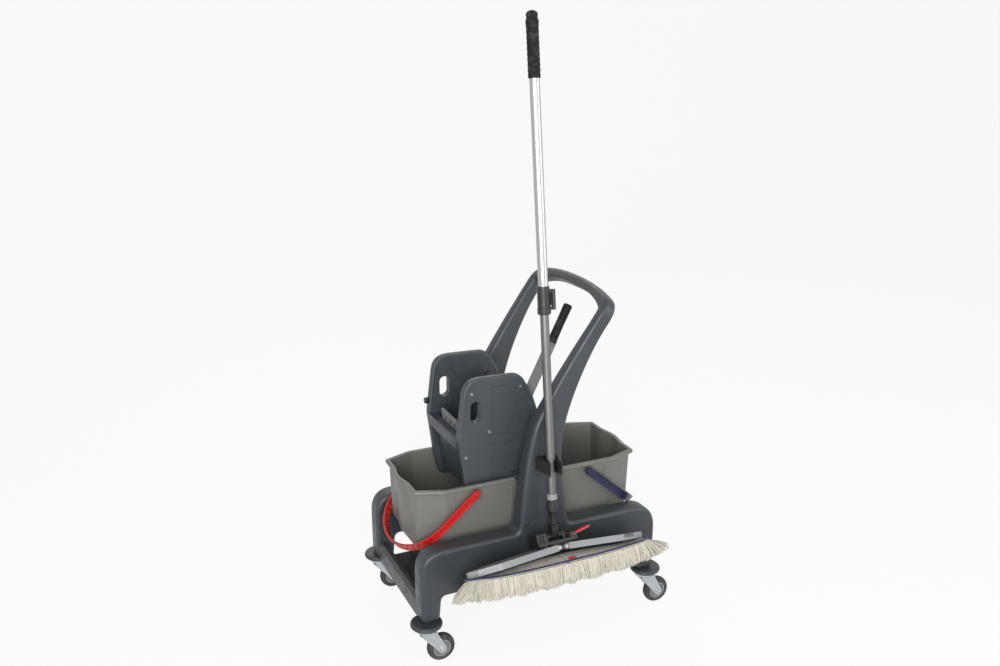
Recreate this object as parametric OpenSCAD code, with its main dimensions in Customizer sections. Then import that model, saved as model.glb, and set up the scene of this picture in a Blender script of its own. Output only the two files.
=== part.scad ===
// Double mop bucket trolley: moulded chassis on castors, two buckets, a lever press wringer
// and a flat mop parked in a clip. Millimetres, +Z up, origin on the floor between the castors.
// +X points to the push handle, -Y to the side where the mop is parked.

/* [Trolley] */
// Length over the side panels
trolley_l = 692; // [640:1:750]
// Width over the side panels
trolley_w = 418; // [390:1:450]

/* [Castors] */
// Diameter of each wheel
wheel_d = 75; // [65:1:90]
// Width of each tyre
tyre_w = 24; // [18:1:30]
// Distance of each wheel's axle behind its swivel axis
castor_trail = 38; // [32:1:44]
// Radius of the stems pressed into the legs
stem_r = 8; // [6:0.5:9]
// Radius of the axle bolts
axle_r = 4; // [3:0.5:5]
// Radius of the bumper discs above the castors
bumper_r = 42; // [34:1:50]

/* [Buckets] */
// Height of each bucket
bucket_h = 296; // [270:1:320]
// Thickness of the bucket walls
bucket_wall = 3; // [2:0.5:4]
// Overhang of the rim
rim_w = 8; // [6:0.5:10]
// Height of the rim
rim_h = 11; // [8:0.5:14]
// Bulge of the pouring spout in each outer end
spout = 9; // [5:0.5:12]
// Distance from each bail's pivots to its far side
bail_reach = 248; // [235:1:260]
// Width of the bail bands
bail_band = 22; // [18:1:26]

/* [Side panels] */
// Thickness of the legs and rails
panel_t = 55; // [48:1:62]
// Width of each leg
leg_w = 50; // [44:1:60]
// Height of the rails
rail_h = 130; // [110:1:150]
// Radius of the shoulder over each leg
shoulder_r = 75; // [60:1:90]
// Rounding of the panel edges
edge_r = 12; // [8:0.5:13]
// Height of the handle's seam above the rails
upright_h = 532; // [480:1:580]

/* [Push handle] */
// Rake of the handle away from upright
handle_rake = 35.6; // [30:0.1:40]
// Depth of the handle's bar across its plane
handle_w = 40; // [34:1:46]
// Thickness of the handle's bar in its plane
handle_t = 30; // [26:1:34]
// Height of the arch above the seam, along the rake
handle_rise = 94; // [84:1:110]

/* [Wringer] */
// Thickness of the cheeks
cheek_t = 21; // [16:1:24]
// Height of the cheeks above the bucket rim
cheek_h = 282; // [270:1:300]
// Radius of the lever shaft
shaft_r = 9; // [7:0.5:11]
// Length of the lever from its shaft
lever_l = 312; // [295:1:340]
// Width of the lever bar
lever_w = 28; // [24:1:32]
// Thickness of the lever bar
lever_t = 6; // [4:0.5:8]
// Radius of the lever grip
grip_r = 13; // [11:0.5:15]
// Length of the lever grip
grip_l = 108; // [95:1:120]
// Turn of the lever from open to pressed
lever_swing = 70; // [60:1:75]
// Turn of the press plate meanwhile
plate_swing = 9; // [7:0.5:10]

/* [Pole] */
// Outer radius of the lower tube
tube_r = 11; // [9.5:0.5:12]
// Wall of both tubes
tube_wall = 1.4; // [1:0.1:2]
// Lean of the parked pole towards the trolley
pole_lean = 6.84; // [5.5:0.1:7.5]
// Height of the clip above the rails
clip_rise = 194; // [180:1:210]
// Length of the pole from its joint to the top of the grip
pole_l = 1296; // [1200:1:1400]
// Length of the pole grip
pole_grip_l = 154; // [130:1:170]

/* [Mop head] */
// Tilt of the parked head, near edge up
head_tilt = 30; // [26:0.5:32]
// Length of each wing from its hinge
wing_l = 243; // [225:1:255]
// Width of the wings
wing_w = 96; // [88:1:100]
// Height of the wings' edges
wing_h = 16; // [13:0.5:18]
// Droop of each wing
wing_droop = 4.3; // [3:0.1:5]
// Length of the fringe strands
fringe_l = 60; // [50:1:80]
// Strands in each row of a half fringe
strand_count = 72; // [60:1:80]

/* [Hidden] */
$fn = 48;
fit = 0.05;
gap = 0.3;
// Heights, from the floor up
wheel_r = wheel_d / 2;
crown_z = wheel_d + 13;
crown_h = 18;
washer_t = 1.7;
bumper_h = 14;
washer_z = crown_z + crown_h + gap;
bumper_z = washer_z + washer_t;
leg_z = bumper_z + bumper_h;
rail_z = leg_z + 66;
rail_top = rail_z + rail_h;
deck_t = 14;
deck_top = leg_z + 28;
bucket_z = deck_top + gap;
rim_z = bucket_z + bucket_h;
// Places along the trolley
bucket_gap = 10;
panel_end = trolley_l / 2;
end_x = panel_end - spout - 10;
bucket_l = end_x - bucket_gap / 2;
castor_x = panel_end - 16;
bar_out = panel_end - 3;
bar_d = 30;
bar_in = bar_out - bar_d;
bar_h = 52;
// Places across the trolley
panel_out = trolley_w / 2;
panel_in = panel_out - panel_t;
half_w = panel_in - 13;
castor_y = panel_out - 14.5;
cheek_out = half_w - 23;
cheek_in = cheek_out - cheek_t;
bail_t = 5;
bail_in = half_w + 4.5;
bail_out = bail_in + bail_t;
// Bails
bail_x = bucket_gap / 2 + bucket_l / 2;
bail_z = rim_z - 22;
bail_hang = 40;
bail_pin_r = 5;
bail_straight = 130;
// Castor fork
fork_t = 3;
fork_in = tyre_w / 2 + 2;
fork_out = fork_in + fork_t;
hub_r = wheel_r * 0.64;
axle_head_r = axle_r + 3;
stem_top = leg_z + 50;
// Push handle and uprights
seam_x = 150;
seam_z = rail_top + upright_h;
rake_dir = [sin(handle_rake), cos(handle_rake)];
rake_across = [cos(handle_rake), -sin(handle_rake)];
seam_rear = [seam_x, seam_z] + rake_across * handle_w / 2;
seam_front = [seam_x, seam_z] - rake_across * handle_w / 2;
upright_foot = rail_top + 34;
// Wringer
shaft_x = -16;
shaft_z = rim_z + 159;
plate_x = -50;
plate_z = rim_z - 22;
plate_l = 216;
plate_t = 8;
plate_lean = 5;
plate_pin_r = 5;
plate_half = cheek_in - 9;
blind = 14;
cam_y = 60;
cam_t = 12;
lever_rake = 26.6;
lever_y = cheek_in - 8;
apron_top = 120;
apron_low = -36;
apron_rear_top = -181;
apron_lean = 8;
grid_half = 50;
grid_t = 6;
screw_r = 2.2;
screw_head_r = 5;
screw_head_t = 2.5;
screw_l = 8;
// Places of the wringer's screws: along the trolley, and above the rim
cheek_screws = [[-166, 242], [-27, 242], [-117, 131], [-183, 70]];
// Pole and clip
pole_x = -2;
clip_z = rail_top + clip_rise;
clip_h = 34;
clip_base = 6;
clip_reach = 32;
pivot_drop = 187;
pivot = [pole_x, -(panel_out + clip_reach) - pivot_drop * tan(pole_lean), clip_z - pivot_drop];
slide_fit = 0.08;
upper_in = tube_r + slide_fit;
upper_r = upper_in + tube_wall;
sleeve_r = upper_r + 4.5;
sleeve_z = round(pole_l * 0.446);
sleeve_h = 70;
upper_start = sleeve_z + 22;
clamp_at = [sleeve_r + 3, -sleeve_r + 3];
clamp_r = 5;
clamp_pin_r = 2;
lower_top = upper_start + 280;
socket_top = 100;
socket_bore_z = 70;
ferrule_h = 14;
yoke_pin_z = 24;
yoke_pin_r = 4;
yoke_ear_r = 10;
tongue_half = 6;
// Mop head
wing_pin_x = 10;
wing_pin_z = -31;
wing_pin_r = 3;
wing_top = -22.5;
wing_wall = 4;
knuckle_r = 6;
knuckle_half = 18;
wing_pin_half = wing_w / 2 - 4;
latch_x = 165;
latch_l = 36;
latch_h = 9;
hub_base_z = -20;
hub_base_t = 8;
hub_left = 60;
hub_right = 50;
pedal_x = 50;
pedal_z = -6;
pedal_l = 56;
pedal_w = 26;
pedal_rise = 12;
pedal_pin_r = 2.5;
pad_half = 60;
pad_border = 12;
pad_straight = wing_l - 43;
pad_end = 56;
pad_start = 3;
pad_sag = -59;
pad_lift = 4.5;
pad_t = 14;
pad_twist = 5;

// Colours as in the photograph
anthracite = [0.26, 0.29, 0.33];
bucket_grey = [0.50, 0.50, 0.48];
zinc = [0.72, 0.74, 0.76];
rubber_grey = [0.22, 0.22, 0.23];
hub_grey = [0.52, 0.52, 0.53];
bail_red = [0.78, 0.12, 0.11];
bail_blue = [0.10, 0.15, 0.33];
plate_grey = [0.62, 0.64, 0.65];
lever_grey = [0.50, 0.50, 0.48];
jet = [0.07, 0.07, 0.08];
alu = [0.75, 0.76, 0.77];
wing_grey = [0.66, 0.68, 0.70];
latch_grey = [0.35, 0.36, 0.38];
pedal_red = [0.72, 0.16, 0.18];
cotton = [0.88, 0.84, 0.76];

// Points along a cubic curve with four control points
function curve(a, b, c, d, n) = [for (i = [0:n]) let (t = i / n, s = 1 - t)
    s * s * s * a + 3 * s * s * t * b + 3 * s * t * t * c + t * t * t * d];

// A corner b between a and c, drawn as a curve that leaves each side at the tangent length of radius r
function corner(a, b, c, r, n) = let (
    u = (a - b) / norm(a - b),
    w = (c - b) / norm(c - b),
    half = acos(max(-1, min(1, u * w))) / 2,
    k = min(r / tan(half), 0.48 * norm(a - b), 0.48 * norm(c - b)))
    [for (i = [0:n]) let (t = i / n, s = 1 - t) s * s * (b + u * k) + 2 * s * t * b + t * t * (b + w * k)];

// An open run of points with its inner corners rounded: each entry is [point, radius]
function run(list, n = 5) = [for (i = [1:len(list) - 2])
    each corner(list[i - 1][0], list[i][0], list[i + 1][0], list[i][1], n)];

// A closed outline with its corners rounded: each entry is [point, radius], radius 0 keeps the point
function ring(list, n = 4) = let (c = len(list)) [for (i = [0:c - 1])
    each (list[i][1] == 0 ? [list[i][0]]
        : corner(list[(i + c - 1) % c][0], list[i][0], list[(i + 1) % c][0], list[i][1], n))];

// A closed outline drawn in by a distance d
function inset(pts, d) = let (c = len(pts)) [for (i = [0:c - 1]) let (
    e = pts[i] - pts[(i + c - 1) % c],
    f = pts[(i + 1) % c] - pts[i],
    m = [-e[1], e[0]] / norm(e),
    n = [-f[1], f[0]] / norm(f))
    pts[i] + d * (m + n) / (1 + m * n)];

// Twice the area of a triangle, positive when it runs anticlockwise
function turn(a, b, c) = (b[0] - a[0]) * (c[1] - a[1]) - (b[1] - a[1]) * (c[0] - a[0]);

// Whether p lies in the triangle a, b, c
function within(p, a, b, c) = turn(a, b, p) >= 0 && turn(b, c, p) >= 0 && turn(c, a, p) >= 0;

// The first corner of an outline that can be cut off as a triangle, and all of its triangles
function ear(pts, ids, i) = let (n = len(ids), a = ids[(i + n - 1) % n], b = ids[i], c = ids[(i + 1) % n])
    i >= n - 1 ? n - 1
        : turn(pts[a], pts[b], pts[c]) > 0.001
            && len([for (k = ids) if (k != a && k != b && k != c
                && within(pts[k], pts[a], pts[b], pts[c])) k]) == 0
        ? i : ear(pts, ids, i + 1);

function ears(pts, ids) = let (n = len(ids), i = ear(pts, ids, 0))
    n == 3 ? [ids]
        : concat([[ids[(i + n - 1) % n], ids[i], ids[(i + 1) % n]]],
            ears(pts, [for (k = [0:n - 1]) if (k != i) ids[k]]));

// Side faces between rings of equal length
function walls(rings, count) = [for (k = [0:rings - 2], i = [0:count - 1]) let (j = (i + 1) % count)
    each [[k * count + i, (k + 1) * count + j, k * count + j],
          [k * count + i, (k + 1) * count + i, (k + 1) * count + j]]];

// A closed solid through a list of rings
module loft(rings) {
    count = len(rings[0]);
    last = len(rings) - 1;
    first_cap = [for (i = [0:count - 1]) i];
    last_cap = [for (i = [count - 1:-1:0]) last * count + i];
    polyhedron([for (r = rings) each r], concat([first_cap, last_cap], walls(len(rings), count)), 6);
}

// A slab in the X-Z plane from y_from down to y_to, with rounded edges
module slab(outline, y_from, y_to, r) {
    count = len(outline);
    face = inset(outline, r);
    rings = concat(
        [for (a = [0, 45, 90]) [for (p = inset(outline, r * (1 - sin(a))))
            [p[0], y_from - r * (1 - cos(a)), p[1]]]],
        [for (a = [90, 45, 0]) [for (p = inset(outline, r * (1 - sin(a))))
            [p[0], y_to + r * (1 - cos(a)), p[1]]]]);
    cap = ears(face, [for (i = [0:count - 1]) i]);
    polyhedron([for (q = rings) each q],
        concat(cap, [for (f = cap) [5 * count + f[2], 5 * count + f[1], 5 * count + f[0]]],
            walls(6, count)), 6);
}

// A bar along Y with a given outline in X and Z
module bar_along_y(outline, half) {
    translate([0, half, 0])
        rotate([90, 0, 0])
            linear_extrude(2 * half) polygon(outline);
}

// A cylinder along Y, from y_from up to y_to
module rod_y(x, z, r, y_from, y_to) {
    translate([x, y_to, z]) rotate([90, 0, 0]) cylinder(r = r, h = y_to - y_from);
}

// Side panels: legs, rail and upright as one moulding

// Height of a point of the upright, as a share of the way from the rail to the seam
function up_at(share) = rail_top + share * upright_h;

panel_outline = concat(
    run([
        [[-panel_end, rail_z], 0],
        [[-panel_end, leg_z], edge_r + 2],
        [[-panel_end + leg_w, leg_z], edge_r + 2],
        [[-panel_end + leg_w + 6, rail_z], edge_r + 4],
        [[panel_end - leg_w - 6, rail_z], edge_r + 4],
        [[panel_end - leg_w, leg_z], edge_r + 2],
        [[panel_end, leg_z], edge_r + 2],
        [[panel_end, rail_top], shoulder_r],
        [[72, rail_top], 30],
        [[66, upright_foot], 0]]),
    curve([66, upright_foot], [58, up_at(0.188)], [44, up_at(0.329)], [52, up_at(0.455)], 7),
    [for (p = curve([52, up_at(0.455)], [58, up_at(0.605)], seam_rear - 80 * rake_dir, seam_rear, 8))
        if (p[1] > up_at(0.456)) p],
    curve(seam_front, seam_front - 100 * rake_dir, [-10, up_at(0.633)], [-30, up_at(0.54)], 9),
    [for (p = curve([-30, up_at(0.54)], [-50, up_at(0.427)], [-62, up_at(0.229)], [-68, upright_foot], 7))
        if (p[1] < up_at(0.539)) p],
    run([
        [[-68, upright_foot], 0],
        [[-74, rail_top], 26],
        [[-panel_end, rail_top], shoulder_r],
        [[-panel_end, rail_z], 0]]));

// Inner face of the panel: flat up to the foot of the upright, then drawn in to the handle's thickness
function panel_inner(z) = panel_in
    + max(0, z - upright_foot) * (panel_t - handle_t) / (seam_z - upright_foot);

module panel_form() {
    inner_r = edge_r - 4;
    count = len(panel_outline);
    // The upright runs from the last low point on the right to the first low point on the left
    up = [for (i = [0:count - 1]) if (panel_outline[i][1] >= upright_foot - 0.01) i];
    first = up[0];
    last = up[len(up) - 1];
    inner = [for (a = [0, 45, 90]) [for (i = [0:count - 1])
        let (p = inset(panel_outline, inner_r * (1 - sin(a)))[i])
        [p[0], -panel_inner(p[1]) - inner_r * (1 - cos(a)), p[1]]]];
    outer = [for (a = [90, 45, 0]) [for (p = inset(panel_outline, edge_r * (1 - sin(a))))
        [p[0], -panel_out + edge_r * (1 - cos(a)), p[1]]]];
    rings = concat(inner, outer);
    // The inner face is two flat fields that meet along the foot of the upright
    low_cap = ears(panel_outline, [for (i = [0:count - 1]) if (i <= first || i >= last) i]);
    high_cap = ears(panel_outline, [for (i = [first:last]) i]);
    outer_cap = [for (f = ears(panel_outline, [for (i = [0:count - 1]) i]))
        [5 * count + f[2], 5 * count + f[1], 5 * count + f[0]]];
    polyhedron([for (r = rings) each r],
        concat(low_cap, high_cap, outer_cap, walls(6, count)), 6);
}

module side_panel() {
    color(anthracite)
    difference() {
        panel_form();
        for (side = [-1, 1])
            translate([side * castor_x, -castor_y, leg_z - 1])
                cylinder(r = stem_r + fit, h = stem_top - leg_z + 2);
        panel_screw_hole();
    }
}

panel_screw_x = -50;
panel_screw_z = rail_top + 26;

module panel_screw_hole() {
    rod_y(panel_screw_x, panel_screw_z, screw_r + fit, -panel_out - 1, -panel_out + screw_l + 1);
}

module near_side_panel() {
    side_panel();
}

module far_side_panel() {
    mirror([0, 1, 0]) side_panel();
}

// Push handle: an arch in the raked plane of the uprights

handle_half = panel_out;
handle_in = panel_out - handle_t;
arch_drop = 20;

// One edge of the arch, from the left leg to the right: upright legs, round shoulders and a low crown
function arch(half, shoulder, crown, r, cut) = [for (p = ring([
    [[-half, 0], 0], [[-half, shoulder - cut], r], [[-half + 0.85 * cut, shoulder + 0.18 * cut], r],
    [[-0.45 * half, crown], 500], [[0.45 * half, crown], 500],
    [[half - 0.85 * cut, shoulder + 0.18 * cut], r], [[half, shoulder - cut], r], [[half, 0], 0]], 5))
    if (p[1] > 1) p];

shoulder_q = handle_rise - arch_drop - 4;
crown_q = handle_rise + 0.45 * arch_drop;
outer_edge = arch(handle_half, shoulder_q, crown_q, 60, 22);
inner_edge = arch(handle_in, shoulder_q - handle_t, crown_q - handle_t, 30, 10);
handle_outline = concat(
    [[handle_in, 0], [handle_half, 0]],
    [for (i = [len(outer_edge) - 1:-1:0]) outer_edge[i]],
    [[-handle_half, 0], [-handle_in, 0]],
    inner_edge);

module push_handle() {
    color(anthracite)
    translate([seam_x, 0, seam_z])
        rotate([0, handle_rake, 0])
            rotate([0, 0, 90])
                slab(handle_outline, handle_w / 2, -handle_w / 2, edge_r - 3);
}

// Cross bars and deck

bar_outline = [
    [-bar_out, leg_z - 2], [-bar_in, leg_z - 2], [-bar_in, deck_top + 6], [-bar_in - 9, deck_top + 6],
    [-bar_in - 9, leg_z - 2 + bar_h], [-bar_out + 9, leg_z - 2 + bar_h], [-bar_out, leg_z - 10 + bar_h]];
bar_screw_y = 75;
bar_screw_z = leg_z + 22;

module cross_bar() {
    color(anthracite)
    difference() {
        bar_along_y(bar_outline, panel_in);
        for (side = [-1, 1])
            translate([-bar_out - 1, side * bar_screw_y, bar_screw_z])
                rotate([0, 90, 0]) cylinder(r = screw_r + fit, h = screw_l + 2);
    }
}

module front_cross_bar() {
    cross_bar();
}

module rear_cross_bar() {
    mirror([1, 0, 0]) cross_bar();
}

deck_half = 112;
ridge_h = 14;

module base_deck() {
    color(anthracite)
    union() {
        translate([-bar_in, -deck_half, deck_top - deck_t]) cube([2 * bar_in, 2 * deck_half, deck_t]);
        // Ridge that keeps the buckets apart, and low stops at their outer ends
        translate([-bucket_gap, -deck_half, deck_top - 1]) cube([2 * bucket_gap, 2 * deck_half, ridge_h + 1]);
        for (side = [-1, 1])
            translate([side * (end_x - 68) - 5, -deck_half, deck_top - 1]) cube([10, 2 * deck_half, 9]);
        // Stiffening ribs under the deck
        for (y = [-90, -30, 30, 90])
            translate([-bar_in, y - 3, deck_top - deck_t - 12]) cube([2 * bar_in, 6, 13]);
    }
}

module screw(l) {
    cylinder(r = screw_r, h = l);
    translate([0, 0, -screw_head_t]) cylinder(r1 = screw_head_r * 0.7, r2 = screw_head_r, h = screw_head_t);
}

module frame_screws() {
    color(zinc)
    union() {
        for (end = [-1, 1], side = [-1, 1])
            translate([end * bar_out, side * bar_screw_y, bar_screw_z])
                rotate([0, -90 * end, 0]) screw(screw_l);
        for (side = [-1, 1])
            translate([panel_screw_x, side * panel_out, panel_screw_z])
                rotate([90 * side, 0, 0]) screw(screw_l);
    }
}

// Castors

module at_castor(end, side) {
    translate([end * castor_x, side * castor_y, 0]) children();
}

module corner_bumpers() {
    color(anthracite)
    for (end = [-1, 1], side = [-1, 1])
        at_castor(end, side)
            rotate_extrude() polygon(concat(
                [[stem_r + fit, bumper_z], [bumper_r - 6, bumper_z]],
                [for (a = [-60:30:60]) [bumper_r - 7 + 7 * cos(a), bumper_z + bumper_h / 2 + 7 * sin(a)]],
                [[bumper_r - 6, leg_z], [stem_r + fit, leg_z]]));
}

module castor_stems() {
    color(zinc)
    for (end = [-1, 1], side = [-1, 1])
        at_castor(end, side) {
            translate([0, 0, crown_z - 4]) cylinder(r = stem_r + 4, h = 4 - gap);
            translate([0, 0, crown_z - 1]) cylinder(r = stem_r, h = stem_top - crown_z + 1);
            translate([0, 0, washer_z]) cylinder(r = stem_r + 10, h = washer_t);
        }
}

module castor_fork(end, side) {
    color(zinc)
    at_castor(end, side)
    difference() {
        union() {
            translate([0, 0, crown_z + 3]) cylinder(r1 = fork_out + 5, r2 = fork_out + 9, h = 6);
            translate([0, 0, crown_z + 9]) cylinder(r = fork_out + 9, h = crown_h - 9);
            translate([-21, -fork_out, crown_z]) cube([44, 2 * fork_out, fork_t + 1]);
            for (s = [-1, 1])
                translate([0, s * (fork_in + fork_t / 2) + fork_t / 2, 0])
                    rotate([90, 0, 0])
                        linear_extrude(fork_t) {
                            polygon([[-21, crown_z + 3], [23, crown_z + 3], [castor_trail + 10, wheel_r + 5],
                                [castor_trail - 9, wheel_r - 6]]);
                            translate([castor_trail, wheel_r]) circle(r = axle_head_r + 4);
                        }
        }
        translate([0, 0, crown_z - 1]) cylinder(r = stem_r + fit, h = crown_h + 2);
        rod_y(castor_trail, wheel_r, axle_r + fit, -fork_out - 1, fork_out + 1);
    }
}

module castor_axle(end, side) {
    color(zinc)
    at_castor(end, side) {
        rod_y(castor_trail, wheel_r, axle_r, -fork_out - 3, fork_out + 3);
        rod_y(castor_trail, wheel_r, axle_head_r, -fork_out - 4, -fork_out - fit);
        rod_y(castor_trail, wheel_r, axle_head_r, fork_out + fit, fork_out + 4);
    }
}

module at_wheel(end, side) {
    at_castor(end, side) translate([castor_trail, 0, wheel_r]) rotate([90, 0, 0]) children();
}

module castor_hub(end, side) {
    half = tyre_w / 2;
    color(hub_grey)
    at_wheel(end, side)
        rotate_extrude() polygon([
            [axle_r + fit, -half - 1], [axle_r + 6, -half - 1], [axle_r + 6, -half + 5], [hub_r - 6, -half + 5],
            [hub_r - 4, -half + 1], [hub_r, -half + 1], [hub_r, half - 1], [hub_r - 4, half - 1],
            [hub_r - 6, half - 5], [axle_r + 6, half - 5], [axle_r + 6, half + 1], [axle_r + fit, half + 1]]);
}

module castor_tyre(end, side) {
    half = tyre_w / 2;
    color(rubber_grey)
    at_wheel(end, side)
        rotate_extrude() polygon(concat(
            [[hub_r + fit, -half + 1], [hub_r + 3, -half + 1], [hub_r + 4, -half], [wheel_r - 5, -half]],
            [for (s = [-3:3]) [wheel_r - 1.6 * pow(s / 3, 2), s / 3 * (half - 4)]],
            [[wheel_r - 5, half], [hub_r + 4, half], [hub_r + 3, half - 1], [hub_r + fit, half - 1]]));
}

// Buckets, drawn for the front one: its spout end points to -X

kink = 137;

// Outline of the bucket at height h above its foot, drawn in by d
function bucket_ring(h, d) = let (
    t = 1 - h / bucket_h,
    below = max(0, kink - h),
    w = half_w - rim_w - 11 * t - d,
    e = w - 27,
    xi = -bucket_gap / 2 - rim_w - 8 * t - d,
    xo = -end_x + rim_w + 3 * min(1, (bucket_h - h) / (bucket_h - kink)) + 80 * below / kink + d,
    b = spout * (1 - below / kink))
    [for (p = ring(concat(
        [[[xi, -w], 20], [[xi, w], 20], [[xo + 72, w], 40], [[xo, e], 18]],
        [for (i = [-5:5]) let (s = i / 6, q = min(1, abs(s) / 0.62))
            [[xo - b * (1 + cos(180 * q)) / 2, -e * s], 0]],
        [[[xo, -e], 18], [[xo + 72, -w], 40]]), 3)) [p[0], p[1], bucket_z + h]];

module bucket_shell() {
    top = bucket_h;
    wall = bucket_wall;
    loft([
        bucket_ring(0, 6), bucket_ring(6, 0), bucket_ring(kink - 8, 0), bucket_ring(kink + 8, 0),
        bucket_ring(top - rim_h, 0), bucket_ring(top - rim_h + 1, -rim_w + 1),
        bucket_ring(top - rim_h + 3, -rim_w),
        bucket_ring(top - 3, -rim_w), bucket_ring(top, -rim_w + 3), bucket_ring(top, 0),
        bucket_ring(top - 2, wall), bucket_ring(kink + 8, wall), bucket_ring(kink - 8, wall),
        bucket_ring(6 + wall, wall), bucket_ring(wall, wall + 5)]);
}

module bucket() {
    wall_y = half_w - rim_w - 1.5;
    color(bucket_grey)
    union() {
        bucket_shell();
        for (side = [0, 1])
            mirror([0, side, 0]) {
                rod_y(-bail_x, bail_z, bail_pin_r + 4, wall_y - 1, bail_in - gap);
                rod_y(-bail_x, bail_z, bail_pin_r, wall_y, bail_out + 1);
                rod_y(-bail_x, bail_z, bail_pin_r + 3, bail_out + gap, bail_out + 2.5);
            }
    }
}

module front_bucket() {
    bucket();
}

module rear_bucket() {
    rotate([0, 0, 180]) bucket();
}

// Bails: a flat band bent round the bucket's end

// The band's edge: straight arms, then half an ellipse
function bail_edge(y, reach) = concat(
    [[0, -y]],
    [for (a = [-90:7.5:90]) [bail_straight + (reach - bail_straight) * cos(a), y * sin(a)]],
    [[0, y]]);

function band(y_in, y_out, reach, thick) = let (inner = bail_edge(y_in, reach - thick))
    concat(bail_edge(y_out, reach), [for (i = [len(inner) - 1:-1:0]) inner[i]]);

module bail() {
    lip = 3;
    translate([-bail_x, 0, bail_z])
        rotate([0, -bail_hang, 0])
            rotate([0, 0, 180])
                difference() {
                    union() {
                        translate([0, 0, -bail_band / 2])
                            linear_extrude(bail_band) polygon(band(bail_in, bail_out, bail_reach, bail_t));
                        for (z = [-bail_band / 2, bail_band / 2 - lip])
                            translate([0, 0, z])
                                linear_extrude(lip)
                                    difference() {
                                        polygon(band(bail_in, bail_out + 1.5, bail_reach + 1.5, bail_t + 1.5));
                                        translate([-1, -half_w - 40]) square([26, 2 * half_w + 80]);
                                    }
                        rod_y(0, 0, bail_band / 2, bail_in, bail_out);
                        rod_y(0, 0, bail_band / 2, -bail_out, -bail_in);
                    }
                    rod_y(0, 0, bail_pin_r + fit, -bail_out - 5, bail_out + 5);
                    // Row of slots across the far side
                    for (a = [-54:9:54])
                        translate([bail_straight + (bail_reach - bail_straight - bail_t / 2) * cos(a),
                            (bail_out - bail_t / 2) * sin(a), 0])
                            rotate([0, 0, atan2(sin(a) / bail_out, cos(a) / (bail_reach - bail_straight))])
                                cube([20, 7, 11], center = true);
                }
}

module red_bail() {
    color(bail_red) bail();
}

module blue_bail() {
    color(bail_blue) rotate([0, 0, 180]) bail();
}

// Wringer: heights in its outlines are above the bucket rim

function above_rim(list) = [for (p = list) [[p[0], rim_z + p[1]], p[2]]];

cheek_outline = ring(above_rim([
    [-172, -68, 18], [-34, -68, 18], [-32, 6, 10], [2, 12, 12], [38, 40, 25], [45, 100, 25], [8, 215, 40],
    [-28, cheek_h - 4, 42], [-184, cheek_h, 48], [-204, 122, 60], [-187, -10, 60]]), 5);

hole_x = -155.5;
hole_z = rim_z + 191;
hole_w = 28;
hole_h = 58;
buffer_z = rim_z + 154;
buffer_x = -201.8;

// A slot along Y with round ends
module hand_hole() {
    straight = (hole_h - hole_w) / 2;
    for (s = [-1, 1])
        rod_y(hole_x, hole_z + s * straight, hole_w / 2, -cheek_out - 5, -cheek_in + 5);
    translate([hole_x - hole_w / 2, -cheek_out - 5, hole_z - straight])
        cube([hole_w, cheek_t + 10, 2 * straight]);
}

// The near cheek; the far one is its mirror
module cheek() {
    lug_x = -56;
    lug_w = 24;
    difference() {
        union() {
            slab(cheek_outline, -cheek_in, -cheek_out, 5);
            // Lug that hooks over the bucket's rim
            translate([lug_x, -half_w - 3.5, rim_z + gap]) cube([lug_w, half_w + 4.5 - cheek_out, 9]);
            translate([lug_x, -half_w - 3.5, rim_z - 8]) cube([lug_w, 3.2, 12]);
            // Raised panel and ledges on the outer face
            translate([-107, -cheek_out - 1.5, rim_z + 140]) cube([44, 3, 112]);
            for (z = [118, 90])
                translate([-122, -cheek_out - 1.5, rim_z + z]) cube([60, 3, 4]);
            for (x = [-108, -92, -76])
                translate([x, -cheek_out - 1.5, rim_z + 8]) cube([3, 3, 70]);
            // Boss round the lever shaft's seat
            rod_y(shaft_x, shaft_z, shaft_r + 7, -cheek_out - 1.5, -cheek_out + 2);
        }
        hand_hole();
        rod_y(shaft_x, shaft_z, shaft_r + fit, -cheek_in - blind, -cheek_in + 1);
        rod_y(plate_x, plate_z, plate_pin_r + fit, -cheek_in - blind, -cheek_in + 1);
        for (p = cheek_screws)
            rod_y(p[0], rim_z + p[1], screw_r + fit, -cheek_out - 3, -cheek_out + screw_l + 1);
    }
}

module near_cheek() {
    color(anthracite) cheek();
}

module far_cheek() {
    color(anthracite)
    difference() {
        mirror([0, 1, 0]) cheek();
        translate([buffer_x - 5, (cheek_in + cheek_out) / 2, buffer_z])
            rotate([0, 90, 0]) cylinder(r = 4 + fit, h = 16);
    }
}

module cheek_buffer() {
    color(jet)
    translate([buffer_x, (cheek_in + cheek_out) / 2, buffer_z])
        rotate([0, 90, 0]) {
            cylinder(r = 4, h = 10);
            translate([0, 0, -9]) cylinder(r1 = 7, r2 = 9, h = 3);
            translate([0, 0, -6]) cylinder(r = 9, h = 6.5);
        }
}

// Rear face of the apron: x at a height above the rim
function apron_rear(z) = apron_rear_top + (apron_top - z) * tan(apron_lean);

module front_wall() {
    color(anthracite)
    bar_along_y([for (p = [
        [-203, 90], [apron_rear(90) - 7, 90], [apron_rear(apron_low) - 6, apron_low],
        [apron_rear(apron_low), apron_low], [apron_rear(apron_top), apron_top], [-203, apron_top]])
        [p[0], rim_z + p[1]]], cheek_in);
}

module drain_grid() {
    low = apron_low + 4;
    height = 182;
    color(plate_grey)
    translate([apron_rear(low) + gap, 0, rim_z + low])
        rotate([0, -apron_lean, 0])
            difference() {
                translate([0, -grid_half, 0]) cube([grid_t, 2 * grid_half, height]);
                for (row = [0:5], col = [-1:1])
                    translate([-1, col * 31 - 12, 10 + row * 28]) cube([grid_t + 2, 24, 20]);
            }
}

module rear_brace() {
    color(anthracite)
    bar_along_y([for (p = [[8, 44], [30, 44], [36, 60], [36, 84], [14, 84], [8, 76]])
        [p[0], rim_z + p[1]]], cheek_in);
}

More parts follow.
